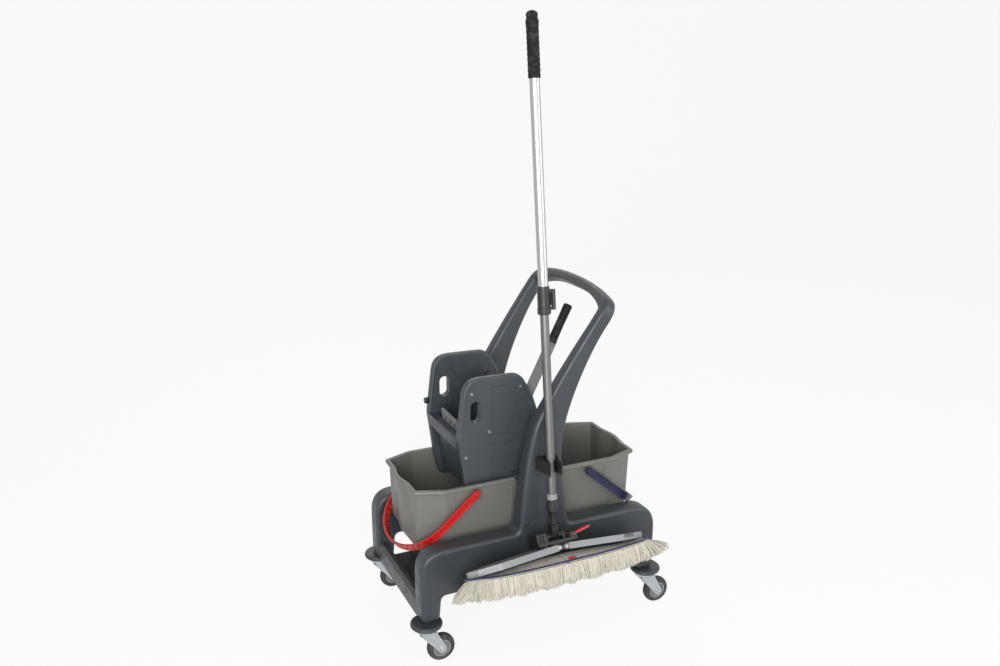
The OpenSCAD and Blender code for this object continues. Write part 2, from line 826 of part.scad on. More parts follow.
module wringer_screws() {
    color(zinc)
    for (side = [0, 1], p = cheek_screws)
        mirror([0, side, 0])
            translate([p[0], -cheek_out, rim_z + p[1]])
                rotate([-90, 0, 0]) screw(screw_l);
}

module press_plate() {
    color(plate_grey)
    translate([plate_x, 0, plate_z])
        rotate([0, -plate_lean, 0])
            difference() {
                union() {
                    rod_y(0, 0, plate_pin_r + 4, -plate_half, plate_half);
                    translate([-plate_t / 2, -plate_half, 0]) cube([plate_t, 2 * plate_half, plate_l]);
                    for (y = [-72:24:72])
                        translate([-plate_t / 2 - 5, y - 2, 18]) cube([6, 4, plate_l - 30]);
                }
                rod_y(0, 0, plate_pin_r + fit, -plate_half - 1, plate_half + 1);
                for (y = [-36, -12, 12, 36], z = [34, 70, 106])
                    translate([-plate_t, y - 6, z]) cube([2 * plate_t, 12, 24]);
            }
}

module plate_pin() {
    color(zinc)
    rod_y(plate_x, plate_z, plate_pin_r, -cheek_in - blind + 1, cheek_in + blind - 1);
}

// Cam: the curve that stays just behind the flat back of the plate as both turn.
// reach is the distance from the shaft to the plate's back at a plate lean, slope its change per radian.
cam_arm = [shaft_x - plate_x, shaft_z - plate_z];
cam_ratio = plate_swing / lever_swing;

function cam_reach(lean) = cam_arm[0] * cos(lean) + cam_arm[1] * sin(lean) - plate_t / 2 - gap;

function cam_slope(lean) = (cam_arm[1] * cos(lean) - cam_arm[0] * sin(lean)) * cam_ratio / (cam_ratio - 1);

function cam_point(turn) = let (
    lean = plate_lean + turn * cam_ratio,
    dir = 180 + lean - turn)
    cam_reach(lean) * [cos(dir), sin(dir)] + cam_slope(lean) * [-sin(dir), cos(dir)];

cam_outline = concat(
    [for (i = [10:-1:0]) cam_point(lever_swing * i / 10)],
    [[-shaft_r - 6, -6], [-6, -shaft_r - 6], [shaft_r + 6, -4], [shaft_r + 4, 34]]);

module lever_shaft() {
    color(zinc)
    union() {
        rod_y(shaft_x, shaft_z, shaft_r, -cheek_in - blind + 1, cheek_in + blind - 1);
        for (side = [-1, 1])
            translate([shaft_x, side * cam_y, shaft_z])
                bar_along_y(cam_outline, cam_t / 2);
    }
}

module at_lever() {
    translate([shaft_x, -lever_y, shaft_z]) rotate([0, lever_rake, 0]) children();
}

tang_w = 18;

module lever_bar() {
    bar_l = lever_l - grip_l;
    color(lever_grey)
    at_lever()
        difference() {
            union() {
                rod_y(0, 0, lever_w / 2 + 3, -lever_t / 2, lever_t / 2);
                translate([-lever_w / 2, -lever_t / 2, 0]) cube([lever_w, lever_t, bar_l - gap]);
                translate([-tang_w / 2, -lever_t / 2, bar_l - 1]) cube([tang_w, lever_t, grip_l - 8]);
            }
            rod_y(0, 0, shaft_r + fit, -lever_t, lever_t);
        }
}

module lever_grip() {
    ribs = 7;
    pitch = (grip_l - 30) / ribs;
    color(jet)
    at_lever()
        translate([0, 0, lever_l - grip_l])
            difference() {
                rotate_extrude() polygon(concat(
                    [[0, 0], [grip_r - 1, 0], [grip_r, 2]],
                    [for (i = [0:ribs - 1]) each [[grip_r, 12 + i * pitch], [grip_r - 1, 13 + i * pitch],
                        [grip_r - 1, 15 + i * pitch], [grip_r, 16 + i * pitch]]],
                    [for (a = [0:22.5:90]) [grip_r - 6 + 6 * cos(a), grip_l - 6 + 6 * sin(a)]],
                    [[0, grip_l]]));
                translate([-tang_w / 2 - fit, -lever_t / 2 - fit, -1])
                    cube([tang_w + 2 * fit, lever_t + 2 * fit, grip_l - 7]);
            }
}

// Pole clip: a base on the upright and two jaws beside the tube

module pole_clip() {
    jaw = tube_r + 0.4;
    root = panel_out + clip_base;
    tip = panel_out + 62;
    color(jet)
    translate([pole_x, 0, clip_z - clip_h / 2])
        linear_extrude(clip_h)
            polygon([[-jaw - 16, -panel_out], [-jaw - 16, -root], [-jaw - 5, -tip + 10], [-jaw - 7, -tip],
                [-jaw - 3, -tip], [-jaw, -tip + 10], [-jaw, -root], [jaw, -root], [jaw, -tip + 10],
                [jaw + 3, -tip], [jaw + 7, -tip], [jaw + 5, -tip + 10], [jaw + 16, -root],
                [jaw + 16, -panel_out]]);
}

// Pole, drawn upright from its joint and leant into place

module at_pole() {
    translate(pivot) rotate([-pole_lean, 0, 0]) children();
}

module tube(r, wall, z_from, z_to) {
    translate([0, 0, z_from])
        difference() {
            cylinder(r = r, h = z_to - z_from);
            translate([0, 0, -1]) cylinder(r = r - wall, h = z_to - z_from + 2);
        }
}

module lower_tube() {
    color(alu) at_pole() tube(tube_r, tube_wall, socket_bore_z + 0.5, lower_top);
}

module pole_ferrule() {
    color(wing_grey)
    at_pole()
        translate([0, 0, socket_top + fit])
            rotate_extrude() polygon([
                [tube_r + fit, 0], [tube_r + 2.5, 0], [tube_r + 2.5, ferrule_h - 3],
                [tube_r + 1.5, ferrule_h], [tube_r + fit, ferrule_h]]);
}

module mop_socket() {
    color(jet)
    at_pole()
        difference() {
            union() {
                rotate_extrude() polygon([
                    [0, yoke_pin_z + yoke_ear_r + 1], [9, yoke_pin_z + yoke_ear_r + 1], [10, 48],
                    [tube_r + 1, 62], [tube_r + 3.5, 70], [tube_r + 3.5, 84], [tube_r + 2.5, 86],
                    [tube_r + 2.5, socket_top], [0, socket_top]]);
                rod_y(0, yoke_pin_z, yoke_ear_r, -tongue_half, tongue_half);
                translate([-yoke_ear_r, -tongue_half, yoke_pin_z])
                    cube([2 * yoke_ear_r, 2 * tongue_half, yoke_ear_r + 3]);
                // Two fins down the neck
                translate([-tube_r - 1, -2, 38]) cube([2 * tube_r + 2, 4, 30]);
            }
            translate([0, 0, socket_bore_z]) cylinder(r = tube_r + fit, h = socket_top);
            rod_y(0, yoke_pin_z, yoke_pin_r + fit, -tongue_half - 1, tongue_half + 1);
        }
}

module upper_tube() {
    color(alu) at_pole() tube(upper_r, tube_wall, upper_start, pole_l - 12);
}

module pole_grip() {
    r = upper_r + 2.6;
    neck = pole_grip_l - 18;
    rings = 9;
    pitch = (neck - 24) / rings;
    color(jet)
    at_pole()
        translate([0, 0, pole_l - pole_grip_l])
            difference() {
                rotate_extrude() polygon(concat(
                    [[0, 0], [r - 1, 0], [r, 3]],
                    [for (i = [0:rings - 1]) each [[r, 10 + i * pitch], [r - 0.8, 11 + i * pitch],
                        [r - 0.8, 13 + i * pitch], [r, 14 + i * pitch]]],
                    [[r + 0.8, neck - 6], [r - 1.5, neck], [r - 1.5, neck + 4]],
                    [for (a = [0:22.5:90]) [(r - 0.5) * cos(a), neck + 8 + 10 * sin(a)]]));
                translate([0, 0, -1]) cylinder(r = upper_r + fit, h = pole_grip_l - 11 + 0.5);
            }
}

// Clamp sleeve at the foot of the upper tube, with a lever that swings on a pin beside it
clamp_z = sleeve_z + 20;
clamp_h = 34;

module clamp_lug(z, h) {
    translate([clamp_at[0], clamp_at[1], z]) cylinder(r = clamp_r, h = h);
    translate([4, clamp_at[1] - 2, z]) cube([clamp_at[0] - 4, 8, h]);
}

module clamp_sleeve() {
    color(jet)
    at_pole()
        difference() {
            union() {
                translate([0, 0, sleeve_z])
                    rotate_extrude() polygon([
                        [0, 0], [sleeve_r - 2, 0], [sleeve_r, 2], [sleeve_r, 16], [sleeve_r - 1, 17],
                        [sleeve_r - 1, sleeve_h - 8], [sleeve_r - 2.5, sleeve_h], [0, sleeve_h]]);
                clamp_lug(clamp_z - 8 - gap, 8);
                clamp_lug(clamp_z + clamp_h + gap, 8);
                translate([clamp_at[0], clamp_at[1], clamp_z - 2])
                    cylinder(r = clamp_pin_r, h = clamp_h + 4);
            }
            translate([0, 0, sleeve_z - 1]) cylinder(r = upper_in, h = sleeve_h + 2);
            translate([0, 0, upper_start - fit]) cylinder(r = upper_r + fit, h = sleeve_h);
        }
}

module clamp_lever() {
    color(jet)
    at_pole()
        translate([clamp_at[0], clamp_at[1], clamp_z])
            difference() {
                union() {
                    cylinder(r = clamp_r, h = clamp_h);
                    linear_extrude(clamp_h) polygon([
                        [clamp_r - 4.5, 0], [clamp_r, 0], [clamp_r + 1, 14], [clamp_r - 1, 30],
                        [clamp_r - 5, 31], [clamp_r - 4.5, 14]]);
                }
                translate([0, 0, -1]) cylinder(r = clamp_pin_r + fit, h = clamp_h + 2);
            }
}

module joint_yoke() {
    ear_in = tongue_half + gap;
    ear_t = 5;
    color(jet)
    at_pole()
        union() {
            for (s = [-1, 1]) {
                y = s * (ear_in + ear_t / 2);
                rod_y(0, yoke_pin_z, yoke_ear_r - 0.5, y - ear_t / 2, y + ear_t / 2);
                translate([-yoke_ear_r + 1, y - ear_t / 2, 2])
                    cube([2 * yoke_ear_r - 2, ear_t, yoke_pin_z - 2]);
            }
            rod_y(0, yoke_pin_z, yoke_pin_r, -ear_in - ear_t - 1, ear_in + ear_t + 1);
            translate([-yoke_ear_r + 1, -ear_in - ear_t, 2])
                cube([2 * yoke_ear_r - 2, 2 * (ear_in + ear_t), yoke_pin_z - yoke_ear_r - 2.6]);
            translate([-hub_ear_in + gap, 0, 0])
                rotate([0, 90, 0]) cylinder(r = 8, h = 2 * (hub_ear_in - gap));
            translate([-hub_ear_in - 7, 0, 0])
                rotate([0, 90, 0]) cylinder(r = yoke_pin_r, h = 2 * (hub_ear_in + 7));
        }
}

// Mop head, drawn level round its joint and tilted into place

hub_ear_in = 20.4;
hub_ear_t = 7;

module at_head() {
    translate(pivot) rotate([-head_tilt, 0, 0]) children();
}

module mop_hub() {
    base_top = hub_base_z + hub_base_t;
    color(jet)
    at_head()
        difference() {
            union() {
                translate([-hub_left, -32, hub_base_z]) cube([hub_left + hub_right - 8, 64, hub_base_t]);
                // Raised block on the left, with a V of ribs on its near face
                translate([-hub_left, -26, base_top - 1]) cube([28, 52, 24]);
                for (x = [-50, -42])
                    translate([x, -29, base_top - 1]) cube([3, 4, 23]);
                // Ears of the tilt pivot
                for (s = [-1, 1])
                    translate([s * (hub_ear_in + hub_ear_t / 2) - hub_ear_t / 2, 0, 0]) {
                        rotate([0, 90, 0]) cylinder(r = 9, h = hub_ear_t);
                        translate([0, -9, base_top - 1]) cube([hub_ear_t, 18, 1 - base_top]);
                    }
                // Knuckle for both wing pins
                translate([-wing_pin_x - 6, -knuckle_half, wing_pin_z - 6])
                    cube([2 * wing_pin_x + 12, 2 * knuckle_half, hub_base_z - wing_pin_z + 7]);
                // Lugs of the foot pedal
                for (s = [-1, 1])
                    translate([pedal_x - 14, s * (pedal_w / 2 + 3.4) - 3, hub_base_z]) cube([20, 6, 20]);
            }
            translate([-hub_ear_in - 20, 0, 0])
                rotate([0, 90, 0]) cylinder(r = yoke_pin_r + fit, h = 2 * hub_ear_in + 40 - 2);
            for (s = [-1, 1])
                rod_y(s * wing_pin_x, wing_pin_z, wing_pin_r + fit, -knuckle_half - 1, knuckle_half + 1);
            rod_y(pedal_x, pedal_z, pedal_pin_r + fit, -pedal_w, pedal_w);
        }
}

module wing_pins() {
    color(zinc)
    at_head()
        for (s = [-1, 1])
            rod_y(s * wing_pin_x, wing_pin_z, wing_pin_r, -wing_pin_half, wing_pin_half);
}

// Plan of a wing from its hinge: parallel, then tapered to a blunt tip, drawn in by d
function wing_plan(d) = [
    [5 + d, -wing_w / 2 + d], [wing_l - 78, -wing_w / 2 + d], [wing_l - 22, -24 + d], [wing_l - 4 - d, -9],
    [wing_l - d, 0],
    [wing_l - 4 - d, 9], [wing_l - 22, 24 - d], [wing_l - 78, wing_w / 2 - d], [5 + d, wing_w / 2 - d]];

// The right wing, level, with its hinge at the origin; the left one is its mirror
module wing_form() {
    top = wing_top - wing_pin_z;
    difference() {
        union() {
            difference() {
                translate([0, 0, top - wing_h]) linear_extrude(wing_h) polygon(wing_plan(0));
                translate([0, 0, top - wing_h - 1])
                    linear_extrude(wing_h - wing_wall + 1) polygon(wing_plan(wing_wall));
            }
            // Ribs under the top
            for (x = [52, 104, 156])
                translate([x, -wing_w / 2 + 1, top - wing_h + 3]) cube([3, wing_w - 2, wing_h - 4]);
            for (s = [-1, 1]) {
                y = s * (knuckle_half + gap + wing_pin_half) / 2;
                half = (wing_pin_half - knuckle_half - gap) / 2;
                rod_y(0, 0, knuckle_r, y - half, y + half);
                translate([0, y - half, -4]) cube([9, 2 * half, 8]);
            }
        }
        rod_y(0, 0, wing_pin_r + fit, -wing_w, wing_w);
        // Notch for the hub's knuckle
        translate([-20, -knuckle_half - gap, -30]) cube([42, 2 * (knuckle_half + gap), 60]);
    }
}

module at_right_wing() {
    at_head() translate([wing_pin_x, 0, wing_pin_z]) rotate([0, wing_droop, 0]) children();
}

module left_wing() {
    color(wing_grey)
    at_head() translate([-wing_pin_x, 0, wing_pin_z]) rotate([0, -wing_droop, 0]) mirror([1, 0, 0]) wing_form();
}

latch_z = wing_top - wing_pin_z - latch_h;

module right_wing() {
    color(wing_grey)
    at_right_wing()
        difference() {
            wing_form();
            translate([latch_x - fit, -wing_w, latch_z - fit]) cube([latch_l + 2 * fit, 2 * wing_w, 30]);
        }
}

module wing_latch() {
    color(latch_grey)
    at_right_wing()
        intersection() {
            translate([latch_x, -wing_w, latch_z]) cube([latch_l, 2 * wing_w, latch_h]);
            translate([0, 0, -30]) linear_extrude(60) polygon(wing_plan(0));
        }
}

module foot_pedal() {
    color(pedal_red)
    at_head()
        translate([pedal_x, 0, pedal_z])
            rotate([0, -pedal_rise, 0])
                union() {
                    rod_y(0, 0, 5, -pedal_w / 2, pedal_w / 2);
                    rod_y(0, 0, pedal_pin_r, -pedal_w / 2 - 6, pedal_w / 2 + 6);
                    translate([0, 0, -2.5])
                        linear_extrude(5) polygon([
                            [0, -11], [pedal_l - 14, -13], [pedal_l - 4, -10], [pedal_l, -4],
                            [pedal_l, 4], [pedal_l - 4, 10], [pedal_l - 14, 13], [0, 11]]);
                    for (x = [20, 28, 36, 44])
                        translate([x, -9, 2]) cube([3, 18, 2]);
                }
}

// Mop pad: a soft sheet that hangs from the wing tips and sags between them

// Height of the pad's top at a distance from the middle
function pad_top(x) = pad_sag + pad_lift * pow(abs(x) / wing_l, 4);

// How far the pad hangs back towards level at a distance from the middle, where its tips follow the wings
function hang(x) = pad_twist * (1 - pow(min(1, abs(x) / wing_l), 3));

// A point of the pad, turned back by that angle
function hung(p) = let (a = hang(p[0]))
    [p[0], p[1] * cos(a) - p[2] * sin(a), p[1] * sin(a) + p[2] * cos(a)];

function pad_width(x) = (pad_half - pad_border - 0.5)
    * sqrt(max(0.05, 1 - pow(max(0, x - pad_straight) / (pad_end - pad_border), 2)));

module pad_half_form() {
    stations = [pad_start, 30, 60, 95, 130, 165, pad_straight,
        pad_straight + 20, pad_straight + 34, pad_straight + 42];
    loft([for (x = stations) [for (a = [0:24:336])
        hung([x, pad_width(x) * cos(a), pad_top(x) - pad_t / 2 + pad_t / 2 * sin(a)])]]);
}

module right_mop_pad() {
    color(cotton) at_head() pad_half_form();
}

module left_mop_pad() {
    color(cotton) at_head() mirror([1, 0, 0]) pad_half_form();
}

// Fringe: strands that hang from a border strip round each half of the pad

fringe_run = pad_straight - pad_start;
fringe_arc = 3.14 * (pad_half + pad_end) / 2;
fringe_total = 2 * fringe_run + fringe_arc;
stations = 2 * strand_count + 1;

// Straight down, as the hanging pad has it at a distance from the middle
function straight_down(x) = [0, sin(head_tilt - hang(x)), -cos(head_tilt - hang(x))];

// Direction round the end at a distance along the border: -90 on the near edge, 90 on the far edge
function border_turn(d) = max(-90, min(90, -90 + 180 * (d - fringe_run) / fringe_arc));

// A place on the border, drawn in by k and lowered by h
function border(d, k, h) = let (
    a = border_turn(d),
    x = pad_start + min(d, fringe_run) - max(0, d - fringe_run - fringe_arc) + (pad_end - k) * cos(a))
    [x, (pad_half - k) * sin(a), pad_top(min(x, wing_l)) - pad_t / 2 - h];

// The strip's section has two points on top and four below, with the strands between the lower ones
strip_rows = [[0, -3], [0, 3], [4.5, 3], [7.5, 3], [pad_border, 3], [pad_border, -3]];

function strip_points() = [for (m = [0:stations]) each
    [for (q = strip_rows) border(m * fringe_total / stations, q[0], q[1])]];

// Fixed scatter between -1 and 1 for strand i
function scatter(i) = sin(137.5 * i + 40 * sin(71 * i));

// Where strand i of a row goes, at a share t of its length
function strand_way(i, row, t) = let (
    d = (2 * i + 1.5) * fringe_total / stations,
    a = border_turn(d),
    down = straight_down(border(d, 0, 0)[0]),
    long = fringe_l * (0.92 + 0.08 * scatter(i + 31 * row)),
    out = [cos(a), sin(a), 0],
    spread = (row == 0 ? 8 : 2) + 40 * pow(max(0, cos(a)), 2) + 8 * max(0, -sin(a)) - 8 * max(0, sin(a)))
    out * spread * t * (1.4 - 0.4 * t) + down * (long - 0.35 * spread) * t;

// Four points of strand i in a row, at a share t of its length
function strand_ring(i, row, t) = let (
    k = row == 0 ? [0, 4.5] : [7.5, pad_border],
    d0 = (2 * i + 1) * fringe_total / stations,
    d1 = (2 * i + 2) * fringe_total / stations,
    base = [border(d0, k[0], 3), border(d1, k[0], 3), border(d1, k[1], 3), border(d0, k[1], 3)],
    mid = (base[0] + base[1] + base[2] + base[3]) / 4)
    [for (b = base) mid + (b - mid) * (1 - 0.35 * t) + strand_way(i, row, t)];

strand_steps = [0.45, 1];
strip_n = 6;
strand_at = (stations + 1) * strip_n;

function strand_points() = [for (i = [0:strand_count - 1], row = [0, 1], t = strand_steps)
    each strand_ring(i, row, t)];

// A four-sided face as two triangles
function quad(a, b, c, d) = [[a, b, c], [a, c, d]];

function strip_faces() = [for (m = [0:stations - 1], q = [0:strip_n - 1]) let (
    a = m * strip_n + q,
    b = m * strip_n + (q + 1) % strip_n,
    strand = m % 2 == 1 && (q == 1 || q == 3))
    each (strand ? [] : quad(a, b, b + strip_n, a + strip_n))];

function strand_faces() = [for (i = [0:strand_count - 1], row = [0, 1]) let (
    m = 2 * i + 1,
    q = row == 0 ? 1 : 3,
    s = strand_at + (2 * i + row) * 8,
    top = [m * strip_n + q, (m + 1) * strip_n + q, (m + 1) * strip_n + q + 1, m * strip_n + q + 1],
    rings = [top, [s, s + 1, s + 2, s + 3], [s + 4, s + 5, s + 6, s + 7]])
    each concat(
        [for (k = [0, 1], j = [0:3]) let (n = (j + 1) % 4)
            each quad(rings[k][n], rings[k][j], rings[k + 1][j], rings[k + 1][n])],
        quad(rings[2][3], rings[2][2], rings[2][1], rings[2][0]))];

function flip(faces) = [for (f = faces) [f[2], f[1], f[0]]];

module fringe_form() {
    end_cap = [for (q = [1:strip_n - 2]) [0, q + 1, q]];
    far_cap = [for (q = [1:strip_n - 2])
        [stations * strip_n, stations * strip_n + q, stations * strip_n + q + 1]];
    polyhedron([for (p = concat(strip_points(), strand_points())) hung(p)],
        flip(concat(strip_faces(), strand_faces(), end_cap, far_cap)), 6);
}

module right_mop_fringe() {
    color(cotton) at_head() fringe_form();
}

module left_mop_fringe() {
    color(cotton) at_head() mirror([1, 0, 0]) fringe_form();
}

near_side_panel();
far_side_panel();
push_handle();
base_deck();
front_cross_bar();
rear_cross_bar();
corner_bumpers();
castor_stems();
frame_screws();
pole_clip();
castor_fork(-1, -1);  // fork_front_near
castor_axle(-1, -1);  // axle_front_near
castor_hub(-1, -1);  // hub_front_near
castor_tyre(-1, -1);  // tyre_front_near
castor_fork(-1, 1);  // fork_front_far
castor_axle(-1, 1);  // axle_front_far
castor_hub(-1, 1);  // hub_front_far
castor_tyre(-1, 1);  // tyre_front_far
castor_fork(1, -1);  // fork_rear_near
castor_axle(1, -1);  // axle_rear_near
castor_hub(1, -1);  // hub_rear_near
castor_tyre(1, -1);  // tyre_rear_near
castor_fork(1, 1);  // fork_rear_far
castor_axle(1, 1);  // axle_rear_far
castor_hub(1, 1);  // hub_rear_far
castor_tyre(1, 1);  // tyre_rear_far
front_bucket();
rear_bucket();
red_bail();
blue_bail();
near_cheek();
far_cheek();
front_wall();
drain_grid();
rear_brace();
wringer_screws();
cheek_buffer();
press_plate();
plate_pin();
lever_shaft();
lever_bar();
lever_grip();
lower_tube();
pole_ferrule();
mop_socket();
upper_tube();
pole_grip();
clamp_sleeve();
clamp_lever();
joint_yoke();
mop_hub();
wing_pins();
left_wing();
right_wing();
wing_latch();
foot_pedal();
left_mop_pad();
right_mop_pad();
left_mop_fringe();
right_mop_fringe();
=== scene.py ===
# %% [markdown]
# # Dressing a mop bucket trolley
# The CAD model already has every rigid piece in its real place and size. This lesson loads it as a fixed
# frame, gives each piece its material, draws the large mouldings again with smoother edges, and makes the
# cotton mop, which CAD can only hint at. All lengths in the code are millimetres until a mesh is built.

# %% Load the frame and note the CAD model's box
import math

import bpy
import numpy as np
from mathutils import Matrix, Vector
from mathutils.geometry import tessellate_polygon


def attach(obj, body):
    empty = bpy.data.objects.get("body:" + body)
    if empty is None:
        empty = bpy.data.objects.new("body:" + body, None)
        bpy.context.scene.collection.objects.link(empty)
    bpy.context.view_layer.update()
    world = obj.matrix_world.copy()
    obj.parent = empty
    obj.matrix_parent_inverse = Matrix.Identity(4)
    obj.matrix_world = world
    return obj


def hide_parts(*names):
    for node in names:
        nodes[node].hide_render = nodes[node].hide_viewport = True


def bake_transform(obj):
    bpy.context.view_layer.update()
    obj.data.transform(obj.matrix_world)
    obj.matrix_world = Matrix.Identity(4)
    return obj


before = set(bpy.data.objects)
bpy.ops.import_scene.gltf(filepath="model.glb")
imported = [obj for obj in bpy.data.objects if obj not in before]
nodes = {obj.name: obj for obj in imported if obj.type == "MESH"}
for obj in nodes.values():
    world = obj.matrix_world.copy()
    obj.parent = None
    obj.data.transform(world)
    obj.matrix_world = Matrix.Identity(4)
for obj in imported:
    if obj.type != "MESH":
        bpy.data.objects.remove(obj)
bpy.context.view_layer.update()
MM = 0.001
print("CAD nodes:", len(nodes))

# %% [markdown]
# ## The camera
# The place and angle of the camera were worked out from the photograph: vertical edges give the pitch,
# the rails give the yaw, and the castor wheels give the distance. A camera could also be moved by hand
# until the picture fits; here the numbers were worked out.

# %% Camera
CAMERA_PLACE = Vector((-1.0582, -2.2229, 1.5438))
CAMERA_YAW = math.radians(24.77)
CAMERA_PITCH = math.radians(16.88)
CAMERA_LENS, SENSOR_WIDTH = 34.70, 36.0


def linked(name, data):
    """A new object with the given data, in the scene."""
    obj = bpy.data.objects.new(name, data)
    bpy.context.scene.collection.objects.link(obj)
    return obj


camera_data = bpy.data.cameras.new("photo_camera")
camera_data.sensor_width, camera_data.lens = SENSOR_WIDTH, CAMERA_LENS
camera = linked("photo_camera", camera_data)
sight = Vector((math.sin(CAMERA_YAW) * math.cos(CAMERA_PITCH),
                math.cos(CAMERA_YAW) * math.cos(CAMERA_PITCH), -math.sin(CAMERA_PITCH)))
camera.location = CAMERA_PLACE
camera.rotation_euler = sight.to_track_quat("-Z", "Y").to_euler()
bpy.context.scene.camera = camera
print("camera looks along", [round(c, 3) for c in sight])

# %% [markdown]
# ## Meshes from arrays
# A surface is a grid of points: one row after another, each row a ring or a run. It could be pulled into
# shape by hand in Edit Mode. Here numpy works out its points, so that a piece follows its sizes and can
# be made again. These helpers join the points with quads and put them into a Blender mesh.

# %% Mesh helpers
def grid_faces(rows, cols, closed):
    """Quads between neighbouring rows of a grid; closed joins the last column to the first."""
    r, c = np.meshgrid(np.arange(rows - 1), np.arange(cols if closed else cols - 1), indexing="ij")
    n = (c + 1) % cols
    return np.stack([r * cols + c, r * cols + n, (r + 1) * cols + n, (r + 1) * cols + c], -1).reshape(-1, 4)


def smoothed(mesh, sharp=None):
    """Shades a mesh smooth, but for edges sharper than an angle in degrees, if one is given."""
    mesh.polygons.foreach_set("use_smooth", np.ones(len(mesh.polygons), bool))
    if sharp:
        mesh.set_sharp_from_angle(angle=math.radians(sharp))


def piece(name, points, faces, material, body, sharp=32.0):
    """A mesh object from points in millimetres, smooth but for edges sharper than an angle. It rides on a
    body, if one is given."""
    mesh = bpy.data.meshes.new(name)
    metres = np.asarray(points).reshape(-1, 3) * MM
    mesh.from_pydata(metres.tolist(), [], [list(map(int, f)) for f in faces])
    mesh.validate()
    mesh.update()
    smoothed(mesh, sharp)
    mesh.materials.append(material)
    obj = linked(name, mesh)
    if body:
        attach(obj, body)
    return obj


# %% [markdown]
# ## Materials
# Every finish is procedural and reads Object coordinates, which are metres here, so a noise scale of 1000
# makes grains of about a millimetre. An image would need a UV map on every piece and would show its
# seams, while a pattern on Object coordinates runs on over edges and corners. These helpers set up a
# shader, add nodes and link them.

# %% Material helpers
MID_NOISE, WIDE_NOISE = (0.35, 0.65), (0.3, 0.7)


def put(value, socket):
    """Gives a socket a value, or links it to the socket that has it."""
    if isinstance(value, bpy.types.NodeSocket):
        socket.id_data.links.new(value, socket)
    else:
        socket.default_value = value


def combine(tree, operation, first, second):
    """What a Math node makes of two values."""
    node = tree.nodes.new("ShaderNodeMath")
    node.operation = operation
    put(first, node.inputs[0])
    put(second, node.inputs[1])
    return node.outputs["Value"]


def finish(name, colour, rough, metallic=0.0):
    """A new material with its Principled shader set, its Object coordinates, and functions that add a node
    and that link a socket to the shader."""
    material = bpy.data.materials.new(name)
    material.use_nodes = True
    tree = material.node_tree
    shader = tree.nodes["Principled BSDF"]
    shader.inputs["Base Color"].default_value = (*colour, 1.0)
    shader.inputs["Roughness"].default_value = rough
    shader.inputs["Metallic"].default_value = metallic
    place = tree.nodes.new("ShaderNodeTexCoord").outputs["Object"]

    def add(kind, **settings):
        node = tree.nodes.new(kind)
        for key, value in settings.items():
            if key in node.bl_rna.properties and not isinstance(value, bpy.types.NodeSocket):
                setattr(node, key, value)
            else:
                put(value, node.inputs[key.replace("_", " ")])
        return node

    def link(socket, to):
        tree.links.new(socket, shader.inputs[to])

    return material, place, add, link


def noise(add, place, scale, detail=3.0, stretch=(1.0, 1.0, 1.0)):
    """Noise on Object coordinates, stretched along the axes where stretch is small."""
    mapped = add("ShaderNodeMapping", Vector=place, Scale=stretch).outputs["Vector"]
    return add("ShaderNodeTexNoise", Vector=mapped, Scale=scale, Detail=detail).outputs["Fac"]


def spread(add, value, low, high, to_low, to_high):
    """A value between low and high, spread over another range."""
    node = add("ShaderNodeMapRange", Value=value, From_Min=low, From_Max=high, To_Min=to_low, To_Max=to_high)
    return node.outputs["Result"]


def tint(add, factor, first, second):
    """A colour between two, by a factor."""
    node = add("ShaderNodeMix", data_type="RGBA")
    sockets = [s for s in node.inputs if s.type == "RGBA"]
    for socket, colour in zip(sockets, (first, second)):
        put(colour if isinstance(colour, bpy.types.NodeSocket) else (*colour, 1.0), socket)
    put(factor, node.inputs["Factor"])
    return [s for s in node.outputs if s.type == "RGBA"][0]


def bump(add, link, height, strength, distance):
    """Bump from a height, in metres of depth."""
    node = add("ShaderNodeBump", Height=height, Strength=strength, Distance=distance)
    link(node.outputs["Normal"], "Normal")


def shade(colour, k):
    """A colour made lighter or darker."""
    return tuple(min(1.0, c * k) for c in colour)


# %% [markdown]
# ### Moulded plastic
# Most of the trolley is moulded plastic, in dark grey, warm grey, red and blue. It has a fine grain, a
# slow drift of tone and a few pale scuffs. One even colour would look like a toy, so noises of different
# size make the tone, the scuffs and the gloss, and one more is the bump of the grain.

# %% Moulded plastic
def moulded(name, colour, rough, grain, depth, drift, scuffs):
    """Moulded plastic: fine grain, drifting tone, and pale scuffs where a second, finer noise peaks."""
    material, place, add, link = finish(name, colour, rough)
    slow = noise(add, place, 7.0, 4.0)
    tone = spread(add, slow, *MID_NOISE, 0.0, 1.0)
    base = tint(add, tone, shade(colour, 1 - drift), shade(colour, 1 + drift))
    marks = noise(add, place, 85.0, 6.0)
    scuffed = tint(add, spread(add, marks, 0.66, 0.80, 0.0, 0.35 * scuffs), base, shade(colour, 1.9))
    link(scuffed, "Base Color")
    gloss = noise(add, place, 45.0, 4.0)
    link(spread(add, gloss, *WIDE_NOISE, rough - 0.07, rough + 0.09), "Roughness")
    bump(add, link, noise(add, place, grain, 2.0), 0.5, depth)
    return material


